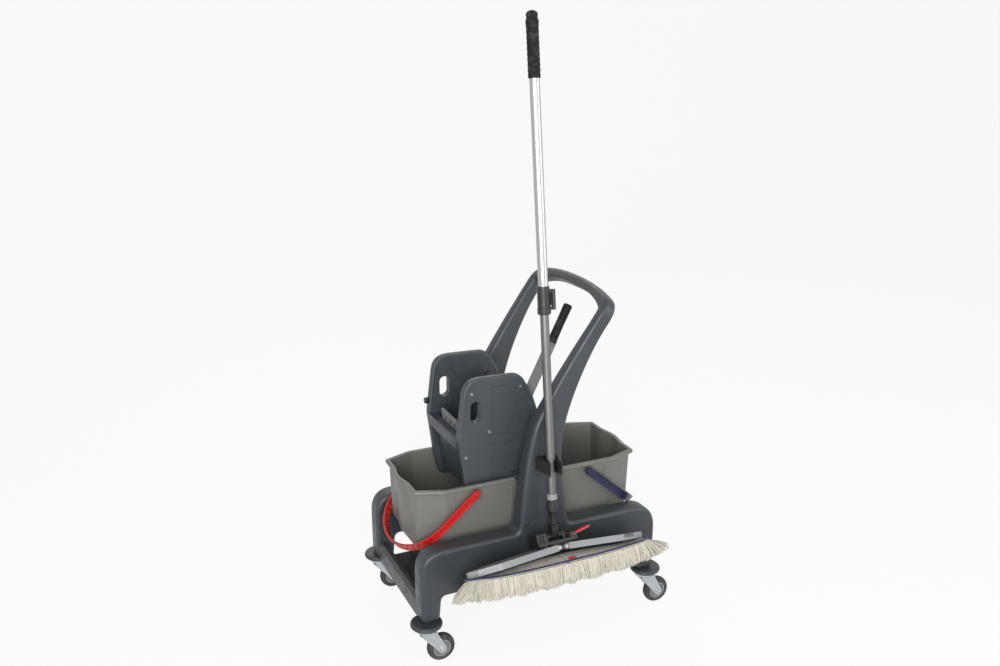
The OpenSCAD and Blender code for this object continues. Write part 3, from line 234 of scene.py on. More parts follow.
# Colour, roughness, grains per metre, depth of the grain in metres, drift of tone, share of scuffs.
anthracite = moulded("chassis_anthracite", (0.036, 0.042, 0.048), 0.42, 900.0, 0.00007, 0.08, 0.2)
wringer_grey = moulded("wringer_anthracite", (0.040, 0.048, 0.055), 0.44, 900.0, 0.00007, 0.07, 0.15)
bucket_grey = moulded("bucket_warm_grey", (0.148, 0.147, 0.133), 0.40, 700.0, 0.00005, 0.05, 0.25)
bail_red = moulded("bail_red", (0.42, 0.011, 0.009), 0.30, 1200.0, 0.00003, 0.06, 0.15)
bail_blue = moulded("bail_blue", (0.0055, 0.0095, 0.044), 0.33, 1200.0, 0.00003, 0.08, 0.15)
plate_grey = moulded("plate_light_grey", (0.17, 0.178, 0.18), 0.45, 900.0, 0.00006, 0.06, 0.3)
hub_grey = moulded("wheel_hub_grey", (0.20, 0.20, 0.205), 0.45, 900.0, 0.00005, 0.05, 0.5)
black_plastic = moulded("black_plastic", (0.012, 0.012, 0.013), 0.40, 1200.0, 0.00006, 0.10, 0.15)
wing_grey = moulded("wing_light_grey", (0.24, 0.252, 0.26), 0.42, 1000.0, 0.00005, 0.05, 0.3)
latch_grey = moulded("latch_grey", (0.085, 0.09, 0.10), 0.42, 1000.0, 0.00005, 0.06, 0.3)
pedal_red = moulded("pedal_red", (0.50, 0.035, 0.05), 0.38, 1000.0, 0.00005, 0.06, 0.3)
lever_coat = moulded("lever_coat", (0.185, 0.182, 0.168), 0.36, 500.0, 0.00006, 0.06, 0.4)
print("moulded finishes from", anthracite.name, "to", lever_coat.name)

# %% [markdown]
# ### Plated steel
# The castors' forks and axles are zinc plated, and the shaft and the screws are darker steel. Zinc grows
# in small crystals that shine a little differently. A Voronoi texture has such cells, so each cell gets a
# tone of its own, and a noise changes the gloss.

# %% Plated steel
def plated(name, colour, rough, cell):
    """Plated steel: crystals of slightly different tone, and a gloss that a noise changes."""
    material, place, add, link = finish(name, colour, rough, 1.0)
    crystal = add("ShaderNodeTexVoronoi", Vector=place, Scale=cell).outputs["Color"]
    tone = add("ShaderNodeSeparateColor", Color=crystal).outputs["Red"]
    link(tint(add, tone, shade(colour, 0.82), shade(colour, 1.06)), "Base Color")
    gloss = noise(add, place, 90.0, 4.0)
    link(spread(add, gloss, *WIDE_NOISE, rough - 0.06, rough + 0.12), "Roughness")
    bump(add, link, noise(add, place, 700.0, 2.0), 0.25, 0.00005)
    return material


# Colour, roughness, crystals per metre.
zinc = plated("zinc_plate", (0.50, 0.53, 0.545), 0.34, 260.0)
dark_steel = plated("dark_steel", (0.10, 0.10, 0.105), 0.42, 260.0)
screw_steel = plated("screw_steel", (0.33, 0.345, 0.35), 0.36, 400.0)
print("plated finishes:", zinc.name, dark_steel.name, screw_steel.name)

# %% [markdown]
# ### Drawn aluminium
# The two tubes of the pole were drawn through a die, which leaves fine lines along them. An anisotropic
# shader would give only the long highlight. A noise that is stretched along the tube gives the lines
# themselves, in the tone and in the bump.

# %% Drawn aluminium
def drawn(name, colour, rough):
    """Drawn aluminium: fine lines along the tube, which is nearly upright."""
    material, place, add, link = finish(name, colour, rough, 1.0)
    lines = noise(add, place, 1500.0, 2.0, (1.0, 1.0, 0.006))
    tone = spread(add, lines, *WIDE_NOISE, 0.0, 1.0)
    link(tint(add, tone, shade(colour, 0.88), shade(colour, 1.05)), "Base Color")
    gloss = noise(add, place, 30.0, 4.0, (1.0, 1.0, 0.2))
    link(spread(add, gloss, *WIDE_NOISE, rough - 0.05, rough + 0.08), "Roughness")
    bump(add, link, lines, 0.2, 0.00003)
    return material


aluminium = drawn("drawn_aluminium", (0.45, 0.455, 0.46), 0.34)
# The lower tube gets a darker, slightly rougher copy of the drawn aluminium.
aluminium_darker = drawn("darker_aluminium", (0.165, 0.167, 0.168), 0.42)
print("drawn finishes:", aluminium.name, aluminium_darker.name)

# %% [markdown]
# ### Rubber
# The tyres and the grips are matt rubber with a little dust. A coarse noise makes the dust, a fine bump
# the pebbled surface, and a low specular level keeps it dark and matt, where roughness alone would leave it
# grey.

# %% Rubber
def rubber(name, colour, rough):
    """Rubber: matt, with dust in a coarse noise and a fine pebbled surface."""
    material, place, add, link = finish(name, colour, rough)
    dust = noise(add, place, 55.0, 5.0)
    link(tint(add, spread(add, dust, 0.5, 0.75, 0.0, 0.35), colour, (0.16, 0.155, 0.15)), "Base Color")
    link(spread(add, dust, *WIDE_NOISE, rough - 0.05, rough + 0.1), "Roughness")
    bump(add, link, noise(add, place, 1300.0, 2.0), 0.5, 0.00008)
    material.node_tree.nodes["Principled BSDF"].inputs["Specular IOR Level"].default_value = 0.25
    return material


tyre_rubber = rubber("tyre_rubber", (0.045, 0.045, 0.047), 0.62)
grip_rubber = rubber("grip_rubber", (0.005, 0.005, 0.0053), 0.66)
print("rubber finishes:", tyre_rubber.name, grip_rubber.name)

# %% [markdown]
# ### A finish for every rigid node
# Each rigid CAD node gets the finish of the real piece, also those that are drawn again below. The cotton
# nodes get none, because the mop's own pieces replace them. It could be one line for each node, but a table
# from finish to nodes is easier to hold against the photograph, and a loop then reads it.

# %% A finish for every rigid node
CASTORS = ("front_near", "front_far", "rear_near", "rear_far")
FINISH_OF = {
    anthracite: ["near_side_panel", "far_side_panel", "push_handle", "base_deck", "front_cross_bar",
                 "rear_cross_bar", "corner_bumpers"],
    wringer_grey: ["near_cheek", "far_cheek", "front_wall", "rear_brace", "press_plate"],
    bucket_grey: ["front_bucket", "rear_bucket"],
    bail_red: ["red_bail"],
    bail_blue: ["blue_bail"],
    plate_grey: ["drain_grid"],
    hub_grey: ["hub_" + c for c in CASTORS],
    tyre_rubber: ["tyre_" + c for c in CASTORS],
    zinc: ["castor_stems", "plate_pin", "wing_pins"]
          + ["fork_" + c for c in CASTORS] + ["axle_" + c for c in CASTORS],
    black_plastic: ["pole_clip", "cheek_buffer", "mop_socket", "clamp_sleeve", "clamp_lever", "joint_yoke",
                    "mop_hub"],
    grip_rubber: ["lever_grip", "pole_grip"],
    lever_coat: ["lever_bar"],
    dark_steel: ["frame_screws", "lever_shaft"],
    screw_steel: ["wringer_screws"],
    aluminium: ["upper_tube"],
    aluminium_darker: ["lower_tube"],
    wing_grey: ["left_wing", "right_wing", "pole_ferrule"],
    latch_grey: ["wing_latch"],
    pedal_red: ["foot_pedal"],
}
for material, names in FINISH_OF.items():
    for name in names:
        nodes[name].data.materials.clear()
        nodes[name].data.materials.append(material)
print("nodes with a finish:", sum(len(n) for n in FINISH_OF.values()))

# %% [markdown]
# ## The floor
# A studio sweep: a pale floor that curves up into a wall. A floor and a wall would show a line where they
# meet, so a flat run, a quarter round and an upright run are one surface. Where the camera or a
# reflection sees it, most of it is white paper, and the rest keeps a soft shadow. For light it is a
# middle grey, so that it doesn't brighten the object.

# %% Studio sweep
def seen_rays(tree):
    """A value that is 1 for what the camera sees, also in a reflection or through glass, and 0 for light."""
    path = tree.nodes.new("ShaderNodeLightPath")
    seen = path.outputs["Is Camera Ray"]
    for other in ("Is Glossy Ray", "Is Transmission Ray"):
        seen = combine(tree, "MAXIMUM", seen, path.outputs[other])
    return seen


SWEEP_NEAR, SWEEP_FAR, SWEEP_RADIUS, SWEEP_HIGH, SWEEP_HALF = -6.0, 3.6, 1.6, 6.0, 9.0
PAPER_SHARE, PAPER_SEEN, SKY_LIGHT, SKY_SEEN = 0.90, 0.95, 0.30, 0.95
bend = np.linspace(0, math.pi / 2, 24)
sweep_profile = np.concatenate([
    [[SWEEP_NEAR, 0.0]],
    np.stack([SWEEP_FAR + SWEEP_RADIUS * np.sin(bend), SWEEP_RADIUS * (1 - np.cos(bend))], -1),
    [[SWEEP_FAR + SWEEP_RADIUS, SWEEP_HIGH]]])
sweep_points = np.array([[[x, y, z] for x in (-SWEEP_HALF, SWEEP_HALF)] for y, z in sweep_profile]) / MM
sweep_finish, sweep_place, sweep_add, sweep_link = finish("studio_white", (0.50, 0.50, 0.50), 0.9)
sweep_tree = sweep_finish.node_tree
seen = seen_rays(sweep_tree)
dull = tint(sweep_add, noise(sweep_add, sweep_place, 3.0), (0.49, 0.49, 0.49), (0.51, 0.51, 0.51))
sweep_link(tint(sweep_add, seen, dull, (PAPER_SEEN,) * 3), "Base Color")
paper = sweep_add("ShaderNodeEmission", Color=(1.0, 1.0, 1.0, 1.0), Strength=1.0)
mixed = sweep_add("ShaderNodeMixShader", Fac=spread(sweep_add, seen, 0.0, 1.0, 0.0, PAPER_SHARE))
sweep_tree.links.new(sweep_tree.nodes["Principled BSDF"].outputs["BSDF"], mixed.inputs[1])
sweep_tree.links.new(paper.outputs["Emission"], mixed.inputs[2])
sweep_tree.links.new(mixed.outputs["Shader"], sweep_tree.nodes["Material Output"].inputs["Surface"])
sweep_faces = grid_faces(len(sweep_profile), 2, False)[:, ::-1]
sweep = piece("studio_sweep", sweep_points, sweep_faces, sweep_finish, None, 80.0)
print("sweep faces:", len(sweep.data.polygons))

# %% [markdown]
# ## The light
# A large lamp at the left of the camera is the key, a weaker one fills from the right, and a third lights
# the back. They are area lamps, because a point lamp throws a hard shadow, and the photograph has none.
# The sky is white: weak as a light, and nearly as pale as the paper where it is seen.

# %% Sky and lamps
world = bpy.data.worlds.new("studio_sky")
bpy.context.scene.world = world
world.use_nodes = True
sky = world.node_tree.nodes["Background"]
sky.inputs["Color"].default_value = (1.0, 1.0, 1.0, 1.0)
level = world.node_tree.nodes.new("ShaderNodeMapRange")
level.inputs["To Min"].default_value, level.inputs["To Max"].default_value = SKY_LIGHT, SKY_SEEN
world.node_tree.links.new(seen_rays(world.node_tree), level.inputs["Value"])
world.node_tree.links.new(level.outputs["Result"], sky.inputs["Strength"])


def lamp(name, place, target, size, power):
    """A square soft lamp that looks at a target."""
    data = bpy.data.lights.new(name, "AREA")
    data.shape, data.size, data.energy = "SQUARE", size, power
    obj = linked(name, data)
    obj.location = place
    obj.rotation_euler = (Vector(target) - Vector(place)).to_track_quat("-Z", "Y").to_euler()


lamp("key_lamp", (-1.8, -3.4, 1.7), (0.0, 0.0, 0.5), 2.6, 160.0)
lamp("fill_lamp", (3.0, -2.8, 1.5), (0.0, 0.0, 0.5), 2.6, 52.0)
lamp("back_lamp", (0.6, 2.8, 3.2), (0.0, 0.0, 0.6), 2.2, 30.0)
bpy.context.scene.view_settings.view_transform = "Standard"

# %% [markdown]
# ## Rounded outlines
# Moulded plastic has no sharp corner, so an outline is a list of corners with a radius each. A Bevel
# modifier could round them later, but with one width for all. A corner is drawn as a short parabola
# between the two points where it leaves its sides, and a long sweep as a cubic curve.

# %% Outline helpers
CORNER_SHARE = 0.48


def corner(before, at, after, radius, steps):
    """Points of a parabola that rounds the corner `at`, with its ends a tangent length away on both sides,
    or a share of the shorter side where that is less."""
    before, at, after = (np.asarray(v, float) for v in (before, at, after))
    u, w = before - at, after - at
    lu, lw = np.linalg.norm(u), np.linalg.norm(w)
    half = math.acos(max(-1.0, min(1.0, float(u @ w) / (lu * lw)))) / 2
    k = min(radius / math.tan(half), CORNER_SHARE * lu, CORNER_SHARE * lw)
    t = np.linspace(0, 1, steps + 1)[:, None]
    return (1 - t) ** 2 * (at + u / lu * k) + 2 * (1 - t) * t * at + t ** 2 * (at + w / lw * k)


def run(corners, steps):
    """The rounded inner corners of an open run of (x, y, radius) corners."""
    pts = [np.asarray(c[:2], float) for c in corners]
    return np.concatenate([corner(pts[i - 1], pts[i], pts[i + 1], corners[i][2], steps)
                           for i in range(1, len(pts) - 1)])


def curve(a, b, c, d, steps):
    """A cubic curve from a to d, pulled towards b and c."""
    t = np.linspace(0, 1, steps + 1)[:, None]
    a, b, c, d = (np.asarray(v, float) for v in (a, b, c, d))
    return (1 - t) ** 3 * a + 3 * (1 - t) ** 2 * t * b + 3 * (1 - t) * t ** 2 * c + t ** 3 * d


# %% [markdown]
# ## Slabs with round edges
# The panels and the handle are slabs whose edges are quarter rounds. Such a slab is a stack of one outline,
# which is drawn in along its normals while it moves across: in by the radius times one less the sine of an
# angle, across by the radius times one less its cosine. A Bevel modifier could round the edges too, but it
# would also round the seam between panel and handle, which has to stay flat.

# %% Slab helpers
def unit(vectors):
    """Vectors drawn to a length of 1."""
    return vectors / np.linalg.norm(vectors, axis=-1, keepdims=True)


def inset(outline, distance):
    """An anticlockwise outline drawn in by a distance, along the mean of its two normals at each point."""
    e = outline - np.roll(outline, 1, 0)
    f = np.roll(outline, -1, 0) - outline
    m = unit(np.stack([-e[:, 1], e[:, 0]], -1))
    n = unit(np.stack([-f[:, 1], f[:, 0]], -1))
    return outline + distance * (m + n) / (1 + (m * n).sum(1, keepdims=True))


FLAT_MARGIN = 1.2


def slab_rings(outline, y_from, y_to, radius, steps, depth=None, keep=None):
    """Rings of a slab in the X-Z plane with quarter-round edges. A flat margin inside each face's edge keeps
    its shading flat. depth may move the first face's points in Y as a function of their height, and keep may
    put points back, such as those of a seam that stays flat."""
    sign = 1.0 if y_from > y_to else -1.0
    edge_round = [(radius * (1 - math.sin(a)), sign * radius * (1 - math.cos(a)))
                  for a in np.linspace(0, math.pi / 2, steps)]
    levels = ([(radius + FLAT_MARGIN, y_from, True)]
              + [(draw, y_from - rise, True) for draw, rise in edge_round]
              + [(draw, y_to + rise, False) for draw, rise in edge_round[::-1]]
              + [(radius + FLAT_MARGIN, y_to, False)])
    rows = []
    for draw, y, on_first in levels:
        flat = inset(outline, draw)
        if keep:
            flat = keep(flat)
        depth_y = depth(flat[:, 1]) if depth and on_first else 0.0
        rows.append(np.stack([flat[:, 0], np.full(len(flat), y) + depth_y, flat[:, 1]], -1))
    return np.array(rows)


def fill(outline):
    """Triangles that fill a flat outline, also one with bays, all turning the way the outline turns."""
    outline = np.asarray(outline, float)
    tris = np.array(tessellate_polygon([[Vector((*point, 0.0)) for point in outline]]))
    u, w = outline[tris[:, 1]] - outline[tris[:, 0]], outline[tris[:, 2]] - outline[tris[:, 0]]
    turned = u[:, 0] * w[:, 1] < u[:, 1] * w[:, 0]
    tris[turned] = tris[turned][:, ::-1]
    return tris


def outward(points, faces):
    """Turns all faces over where the closed surface they make has its volume inside out."""
    p = np.asarray(points).reshape(-1, 3)
    p = p - p.mean(0)
    fans = np.array([(f[0], f[k], f[k + 1]) for f in faces for k in range(1, len(f) - 1)])
    volume = np.einsum("ij,ij->", p[fans[:, 0]], np.cross(p[fans[:, 1]], p[fans[:, 2]]))
    return faces if volume > 0 else [list(f)[::-1] for f in faces]


# %% [markdown]
# ## The side panels
# Each side is one moulding: two legs, a rail and an upright that leans back to the handle. The CAD model
# has the same outline with few facets, and a bevel on it would leave those. So the outline is drawn again
# with many points: rounded corners on legs and rail, and two cubic curves up each edge of the upright.

# %% Panel outline
LEG_Z, RAIL_Z, RAIL_TOP = 122.0, 188.0, 318.0
PANEL_END, LEG_W, PANEL_IN, PANEL_OUT = 346.0, 50.0, 154.0, 209.0
SEAM = np.array([150.0, 850.0])
RAKE = math.radians(35.6)
HANDLE_W, HANDLE_T, EDGE_R, EDGE_STEPS = 40.0, 30.0, 10.0, 7
along = np.array([math.sin(RAKE), math.cos(RAKE)])
across = np.array([math.cos(RAKE), -math.sin(RAKE)])
seam_rear, seam_front = SEAM + across * HANDLE_W / 2, SEAM - across * HANDLE_W / 2
FOOT = RAIL_TOP + 34
LEG_R, RAIL_R, SHOULDER_R, LEG_FLARE = 14, 16, 75, 6
REAR_FOOT, REAR_WAIST = (66, FOOT), (52, RAIL_TOP + 242)
FRONT_FOOT, FRONT_WAIST = (-68, FOOT), (-30, RAIL_TOP + 287)
LEG_IN, RAIL_IN = PANEL_END - LEG_W, PANEL_END - LEG_W - LEG_FLARE
panel_low = run([(-PANEL_END, RAIL_Z, 0), (-PANEL_END, LEG_Z, LEG_R), (-LEG_IN, LEG_Z, LEG_R),
                 (-RAIL_IN, RAIL_Z, RAIL_R), (RAIL_IN, RAIL_Z, RAIL_R), (LEG_IN, LEG_Z, LEG_R),
                 (PANEL_END, LEG_Z, LEG_R), (PANEL_END, RAIL_TOP, SHOULDER_R),
                 (72, RAIL_TOP, 30), (*REAR_FOOT, 0)], 10)
rear_edge = np.concatenate([
    curve(REAR_FOOT, (58, RAIL_TOP + 100), (44, RAIL_TOP + 175), REAR_WAIST, 20),
    curve(REAR_WAIST, (58, RAIL_TOP + 322), seam_rear - 80 * along, seam_rear, 24)[1:]])
front_edge = np.concatenate([
    curve(seam_front, seam_front - 100 * along, (-10, RAIL_TOP + 337), FRONT_WAIST, 24),
    curve(FRONT_WAIST, (-50, RAIL_TOP + 227), (-62, RAIL_TOP + 122), FRONT_FOOT, 20)[1:]])
panel_left = run([(*FRONT_FOOT, 0), (-74, RAIL_TOP, 26), (-PANEL_END, RAIL_TOP, SHOULDER_R),
                  (-PANEL_END, RAIL_Z, 0)], 10)
panel_outline = np.concatenate([panel_low, rear_edge, front_edge, panel_left])
upright_from, upright_to = len(panel_low), len(panel_low) + len(rear_edge) + len(front_edge) - 1
print("panel outline points:", len(panel_outline))

# %% [markdown]
# ### The panels as slabs
# The inner face is level on the rail and slopes outwards up the upright, where the panel gets as thin as
# the handle. One face can't bend, so it is two flat fields that meet at the upright's foot, each filled
# with triangles. The far panel is the mirror of the near one.

# %% Side panels
def upright_depth(z):
    """How far the panel's inner face is drawn out at a height: none on the rail, then in proportion to the
    height above the upright's foot, until the panel is as thin as the handle."""
    return -np.maximum(0, z - FOOT) * (PANEL_OUT - PANEL_IN - HANDLE_T) / (SEAM[1] - FOOT)


def flat_seam(flat):
    """Puts the upright's two end corners back on the plane where the handle starts."""
    ends = upright_from + len(rear_edge) + np.array([-1, 0])
    flat[ends] += along * ((SEAM - flat[ends]) @ along)[:, None]
    return flat


def panel(side):
    """Points and faces of one panel; its inner face is two flat fields that meet at the upright's foot."""
    rings = slab_rings(panel_outline, -PANEL_IN, -PANEL_OUT, EDGE_R, EDGE_STEPS, upright_depth, flat_seam)
    rows, cols = rings.shape[:2]
    low = np.r_[0:upright_from + 1, upright_to:cols]
    high = np.arange(upright_from, upright_to + 1)
    faces = grid_faces(rows, cols, True).tolist()
    for field in (low, high):
        faces += field[fill(panel_outline[field])][:, ::-1].tolist()
    faces += (fill(panel_outline) + (rows - 1) * cols).tolist()
    rings = rings * [1, -side, 1]
    return rings, outward(rings, faces)


near_panel = piece("near_panel_moulding", *panel(-1), anthracite, "chassis")
far_panel = piece("far_panel_moulding", *panel(1), anthracite, "chassis")
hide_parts("near_side_panel")
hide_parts("far_side_panel")
print("panel faces:", len(near_panel.data.polygons))

# %% [markdown]
# ## The push handle
# The handle is an arch in the raked plane of the uprights. A curve with a round bevel would make a bar,
# but the real one is a flat slab, with a crown that falls to cut shoulders. Its outer and inner edge are
# drawn flat as a run of corners, and a moving mean softens them.

# %% Handle outline
HANDLE_RISE, ARCH_DROP = 94.0, 20.0
HANDLE_OUT, HANDLE_IN, ARCH_POINTS, ARCH_STEP = PANEL_OUT, PANEL_OUT - HANDLE_T, 120, 2.0
shoulder, crown = HANDLE_RISE - ARCH_DROP - 4, HANDLE_RISE + 0.45 * ARCH_DROP


def arch(half, shoulder_q, crown_q, cut, soft, power):
    """One edge of the arch from left to right, without its feet: a leg, a shoulder cut by a slant, and a
    crown that falls with a power of the distance from the middle. Then every point becomes the mean of its
    neighbours within a soft length, twice, which rounds the corners."""
    slant = np.array([half - 0.85 * cut, shoulder_q + 0.18 * cut])
    x = np.linspace(-slant[0], slant[0], 81)
    crown_line = np.column_stack([x, crown_q - (crown_q - slant[1]) * np.abs(x / slant[0]) ** power])
    leg = np.array([[half, -80.0], [half, shoulder_q - cut]])
    corners = np.concatenate([leg * [-1, 1], crown_line, leg[::-1]])
    length = np.concatenate([[0], np.cumsum(np.linalg.norm(np.diff(corners, axis=0), axis=1))])
    even = np.arange(0, length[-1], ARCH_STEP)
    line = np.column_stack([np.interp(even, length, corners[:, k]) for k in (0, 1)])
    window = np.ones(int(soft / ARCH_STEP) | 1)
    for _ in range(2):
        line = np.column_stack([np.convolve(line[:, k], window / len(window), "valid") for k in (0, 1)])
    line = line[line[:, 1] > 1]
    return line[np.linspace(0, len(line) - 1, ARCH_POINTS).astype(int)]


outer_arch = arch(HANDLE_OUT, shoulder, crown - 5, 22, 24, 2.5)
inner_arch = arch(HANDLE_IN, shoulder - HANDLE_T, crown - HANDLE_T - 2, 4, 10, 3.0)
handle_outline = np.concatenate([[[HANDLE_IN, 0], [HANDLE_OUT, 0]], outer_arch[::-1],
                                 [[-HANDLE_OUT, 0], [-HANDLE_IN, 0]], inner_arch])
left_foot = 2 + ARCH_POINTS
outside = np.arange(1, left_foot + 1)
inside = np.concatenate([[0], np.arange(len(handle_outline) - 1, left_foot, -1)])
handle_side = np.stack([outside[:-1], outside[1:], inside[1:], inside[:-1]], -1)
print("handle outline points:", len(handle_outline))

# %% [markdown]
# ### The handle as a slab
# The two edges are joined to a slab, whose sides are strips of quads between them. One large face would
# do too, but quads from edge to edge keep the shading even. Then the slab is turned into the raked plane.

# %% Push handle
def loft(rings, cap=None):
    """A closed solid through rings of equal length: quads between them, and an end at each, which is one face
    unless cap gives the faces that fill it."""
    rings = np.asarray(rings)
    rows, cols = rings.shape[:2]
    cap = np.arange(cols)[None] if cap is None else cap
    faces = grid_faces(rows, cols, True).tolist() + cap[:, ::-1].tolist() + (cap + (rows - 1) * cols).tolist()
    return rings.reshape(-1, 3), outward(rings, faces)


def flat_feet(flat):
    """Puts the arch's four foot corners back on the seam."""
    flat[[0, 1, left_foot, left_foot + 1], 1] = 0
    return flat


handle_rings = slab_rings(handle_outline, HANDLE_W / 2, -HANDLE_W / 2, EDGE_R, EDGE_STEPS, keep=flat_feet)
handle_points, handle_faces = loft(handle_rings, handle_side)
handle_points = (np.array([[SEAM[0], 0, SEAM[1]]])
                 + handle_points[:, :1] * [[0, 1, 0]]
                 + handle_points[:, 2:] * [[along[0], 0, along[1]]]
                 - handle_points[:, 1:2] * [[across[0], 0, across[1]]])
handle = piece("push_handle_arch", handle_points, outward(handle_points, handle_faces), anthracite, "chassis")
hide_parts("push_handle")
print("handle faces:", len(handle.data.polygons))

# %% [markdown]
# ## The buckets
# A bucket is a thin moulded tub: square at its inner end, cut at the outer corners, with a spout that
# bulges out. Above the kink the outer end is upright, below it the end slopes in. A cube could be cut and
# hollowed, but the walls lean and the spout fades, so the tub is a stack of outlines, each worked out for
# its height.

# %% Bucket outline
def ring(corners, steps):
    """A closed outline from (x, y, radius) corners; radius 0 keeps the corner's point."""
    pts = [np.asarray(c[:2], float) for c in corners]
    n = len(pts)
    return np.concatenate([pts[i][None] if corners[i][2] == 0
                           else corner(pts[i - 1], pts[i], pts[(i + 1) % n], corners[i][2], steps)
                           for i in range(n)])


BUCKET_Z, BUCKET_H, BUCKET_GAP, END_X, HALF_W = 150.3, 296.0, 10.0, 327.0, 141.0
RIM_W, RIM_H, WALL, SPOUT, SPOUT_SPAN, KINK = 8.0, 11.0, 3.0, 9.0, 0.62, 137.0
SIDE_DRAFT, INNER_DRAFT, END_DRAFT, END_SLOPE = 11, 8, 3, 80
CUT_X, CUT_Y, FOOT_R = 72, 27, 6


def bucket_outline(h, d):
    """The front bucket's outline at a height above its foot, drawn in by d. The walls lean by their draft,
    the outer end also slopes in below the kink, and the spout is one wave of a cosine across that end."""
    t = 1 - h / BUCKET_H
    below = max(0.0, KINK - h) / KINK
    w = HALF_W - RIM_W - SIDE_DRAFT * t - d
    e = w - CUT_Y
    xi = -BUCKET_GAP / 2 - RIM_W - INNER_DRAFT * t - d
    xo = -END_X + RIM_W + END_DRAFT * min(1.0, (BUCKET_H - h) / (BUCKET_H - KINK)) + END_SLOPE * below + d
    b = SPOUT * (1 - below)
    end = [(xo - b * (1 + math.cos(math.pi * min(1.0, abs(k) / SPOUT_SPAN))) / 2, -e * k, 0)
           for k in np.arange(-11, 12) / 12]
    flat = ring([(xi, -w, 20), (xi, w, 20), (xo + CUT_X, w, 40), (xo, e, 18)] + end
                + [(xo, -e, 18), (xo + CUT_X, -w, 40)], 8)
    return np.column_stack([flat, np.full(len(flat), BUCKET_Z + h)])


# %% [markdown]
# ### The shell
# The stack runs up the outside, over the rolled rim and down the inside, so the wall has its real
# thickness and the mesh is closed. A Solidify modifier would give the wall too, but not the rim's own
# profile.

# %% Bucket shell
top = BUCKET_H
quarter = [(FOOT_R - FOOT_R * math.cos(a), FOOT_R - FOOT_R * math.sin(a))
           for a in np.linspace(0, math.pi / 2, 5)]
wall_levels = (40, 80, KINK - 12, KINK - 4, KINK + 4, KINK + 12, 190, 240)
rim_profile = [(top - RIM_H + 0.5, -RIM_W + 2), (top - RIM_H + 1.2, -RIM_W + 0.5),
               (top - RIM_H + 2.5, -RIM_W), (top - 4, -RIM_W), (top - 1.4, -RIM_W + 0.9),
               (top - 0.3, -RIM_W + 2.4), (top, -RIM_W + 4), (top, 0),
               (top - 0.4, WALL - 1.2), (top - 1.6, WALL - 0.2), (top - 3, WALL)]
bucket_stack = ([(0, FOOT_R + 2)] + quarter
                + [(h, 0) for h in (*wall_levels, top - RIM_H - 2, top - RIM_H)]
                + rim_profile
                + [(h, WALL) for h in wall_levels[::-1]]
                + [(WALL + d, WALL + h) for h, d in quarter] + [(WALL, WALL + FOOT_R + 2)])
shell = loft([bucket_outline(h, d) for h, d in bucket_stack])
print("shell points:", len(shell[0]))

# %% [markdown]
# ### Bosses, pins and beads
# Each long wall has a boss and a pin, where the bail is hung, and two thin upright beads. The turned
# pieces are a profile carried round an axis, and a bead is half an oval carried up the wall. All start
# inside the wall, so no Boolean is needed to join them to it.

# %% Fittings and beads
TIP_R = 0.02


def rings_round(line, radius, first, second, sides):
    """A ring round each point of a line: the point, plus the radius times the cosine of an angle along the
    first direction and its sine along the second."""
    a = np.linspace(0, 2 * math.pi, sides, endpoint=False)[:, None]
    circle = np.cos(a) * first[..., None, :] + np.sin(a) * second[..., None, :]
    return line[..., None, :] + radius[..., None, None] * circle


def rod(centre, axis, profile, sides=32):
    """A turned piece: (radius, distance) pairs carried round an axis that starts at a centre. A point of the
    profile on the axis keeps a very small radius."""
    axis = unit(np.asarray(axis, float))
    side = unit(np.cross(axis, [0.0, 0.0, 1.0] if abs(axis[2]) < 0.9 else [1.0, 0.0, 0.0]))
    radius, distance = np.array(profile, float).T
    line = np.asarray(centre, float) + distance[:, None] * axis
    return loft(rings_round(line, np.maximum(radius, TIP_R), side, np.cross(axis, side), sides))


BAIL_X, BAIL_Z, BAIL_IN, BAIL_OUT, BAIL_PIN = 166.0, 424.3, 145.5, 150.5, 5.0
FITTING_FROM = HALF_W - RIM_W - 2.5
BOSS = [(BAIL_PIN + 4, FITTING_FROM), (BAIL_PIN + 4, BAIL_IN - 1.2), (BAIL_PIN + 3, BAIL_IN - 0.3),
        (0, BAIL_IN - 0.3)]
PIN = [(BAIL_PIN, FITTING_FROM), (BAIL_PIN, BAIL_OUT + 0.3), (BAIL_PIN + 3, BAIL_OUT + 0.3),
       (BAIL_PIN + 3, BAIL_OUT + 1.4), (BAIL_PIN + 2, BAIL_OUT + 2.4), (0, BAIL_OUT + 2.5)]


def fittings(profile):
    """A turned piece on each long wall, where the bail is hung. Distances are from the bucket's middle."""
    shifted = [(r, d - FITTING_FROM) for r, d in profile]
    return [rod((-BAIL_X, side * FITTING_FROM, BAIL_Z), [0, side, 0], shifted) for side in (-1, 1)]


BEAD_LOW, BEAD_HIGH, BEAD_W, BEAD_H, BEAD_SINK = 175.0, 421.0, 2.2, 2.4, 0.3
BEAD_PLACES = (-222.0, -60.0)


def side_bead(x, side):
    """A thin upright bead on a long wall, which leans with it: half an oval, closed to a point at its
    foot."""
    h = np.array([BEAD_LOW, BEAD_HIGH])
    y = HALF_W - RIM_W - SIDE_DRAFT * (1 - (h - BUCKET_Z) / BUCKET_H)
    a = np.linspace(-math.pi / 2, math.pi / 2, 7)
    out = y[:, None] - BEAD_SINK + BEAD_H * np.cos(a)
    oval = np.stack(np.broadcast_arrays(x + BEAD_W * np.sin(a), side * out, h[:, None]), -1)
    point = np.broadcast_to([x, side * (y[0] - 0.5), h[0] - 1], (1, len(a), 3))
    return loft(np.concatenate([point, oval]))


# %% [markdown]
# ### The two buckets
# The rear bucket is the same moulding turned round, so its points are those of the front bucket with X
# and Y changed in sign. A mirror would turn the faces inside out, and half a turn doesn't. The pins are
# pieces of their own, because they have the colour of their bail.

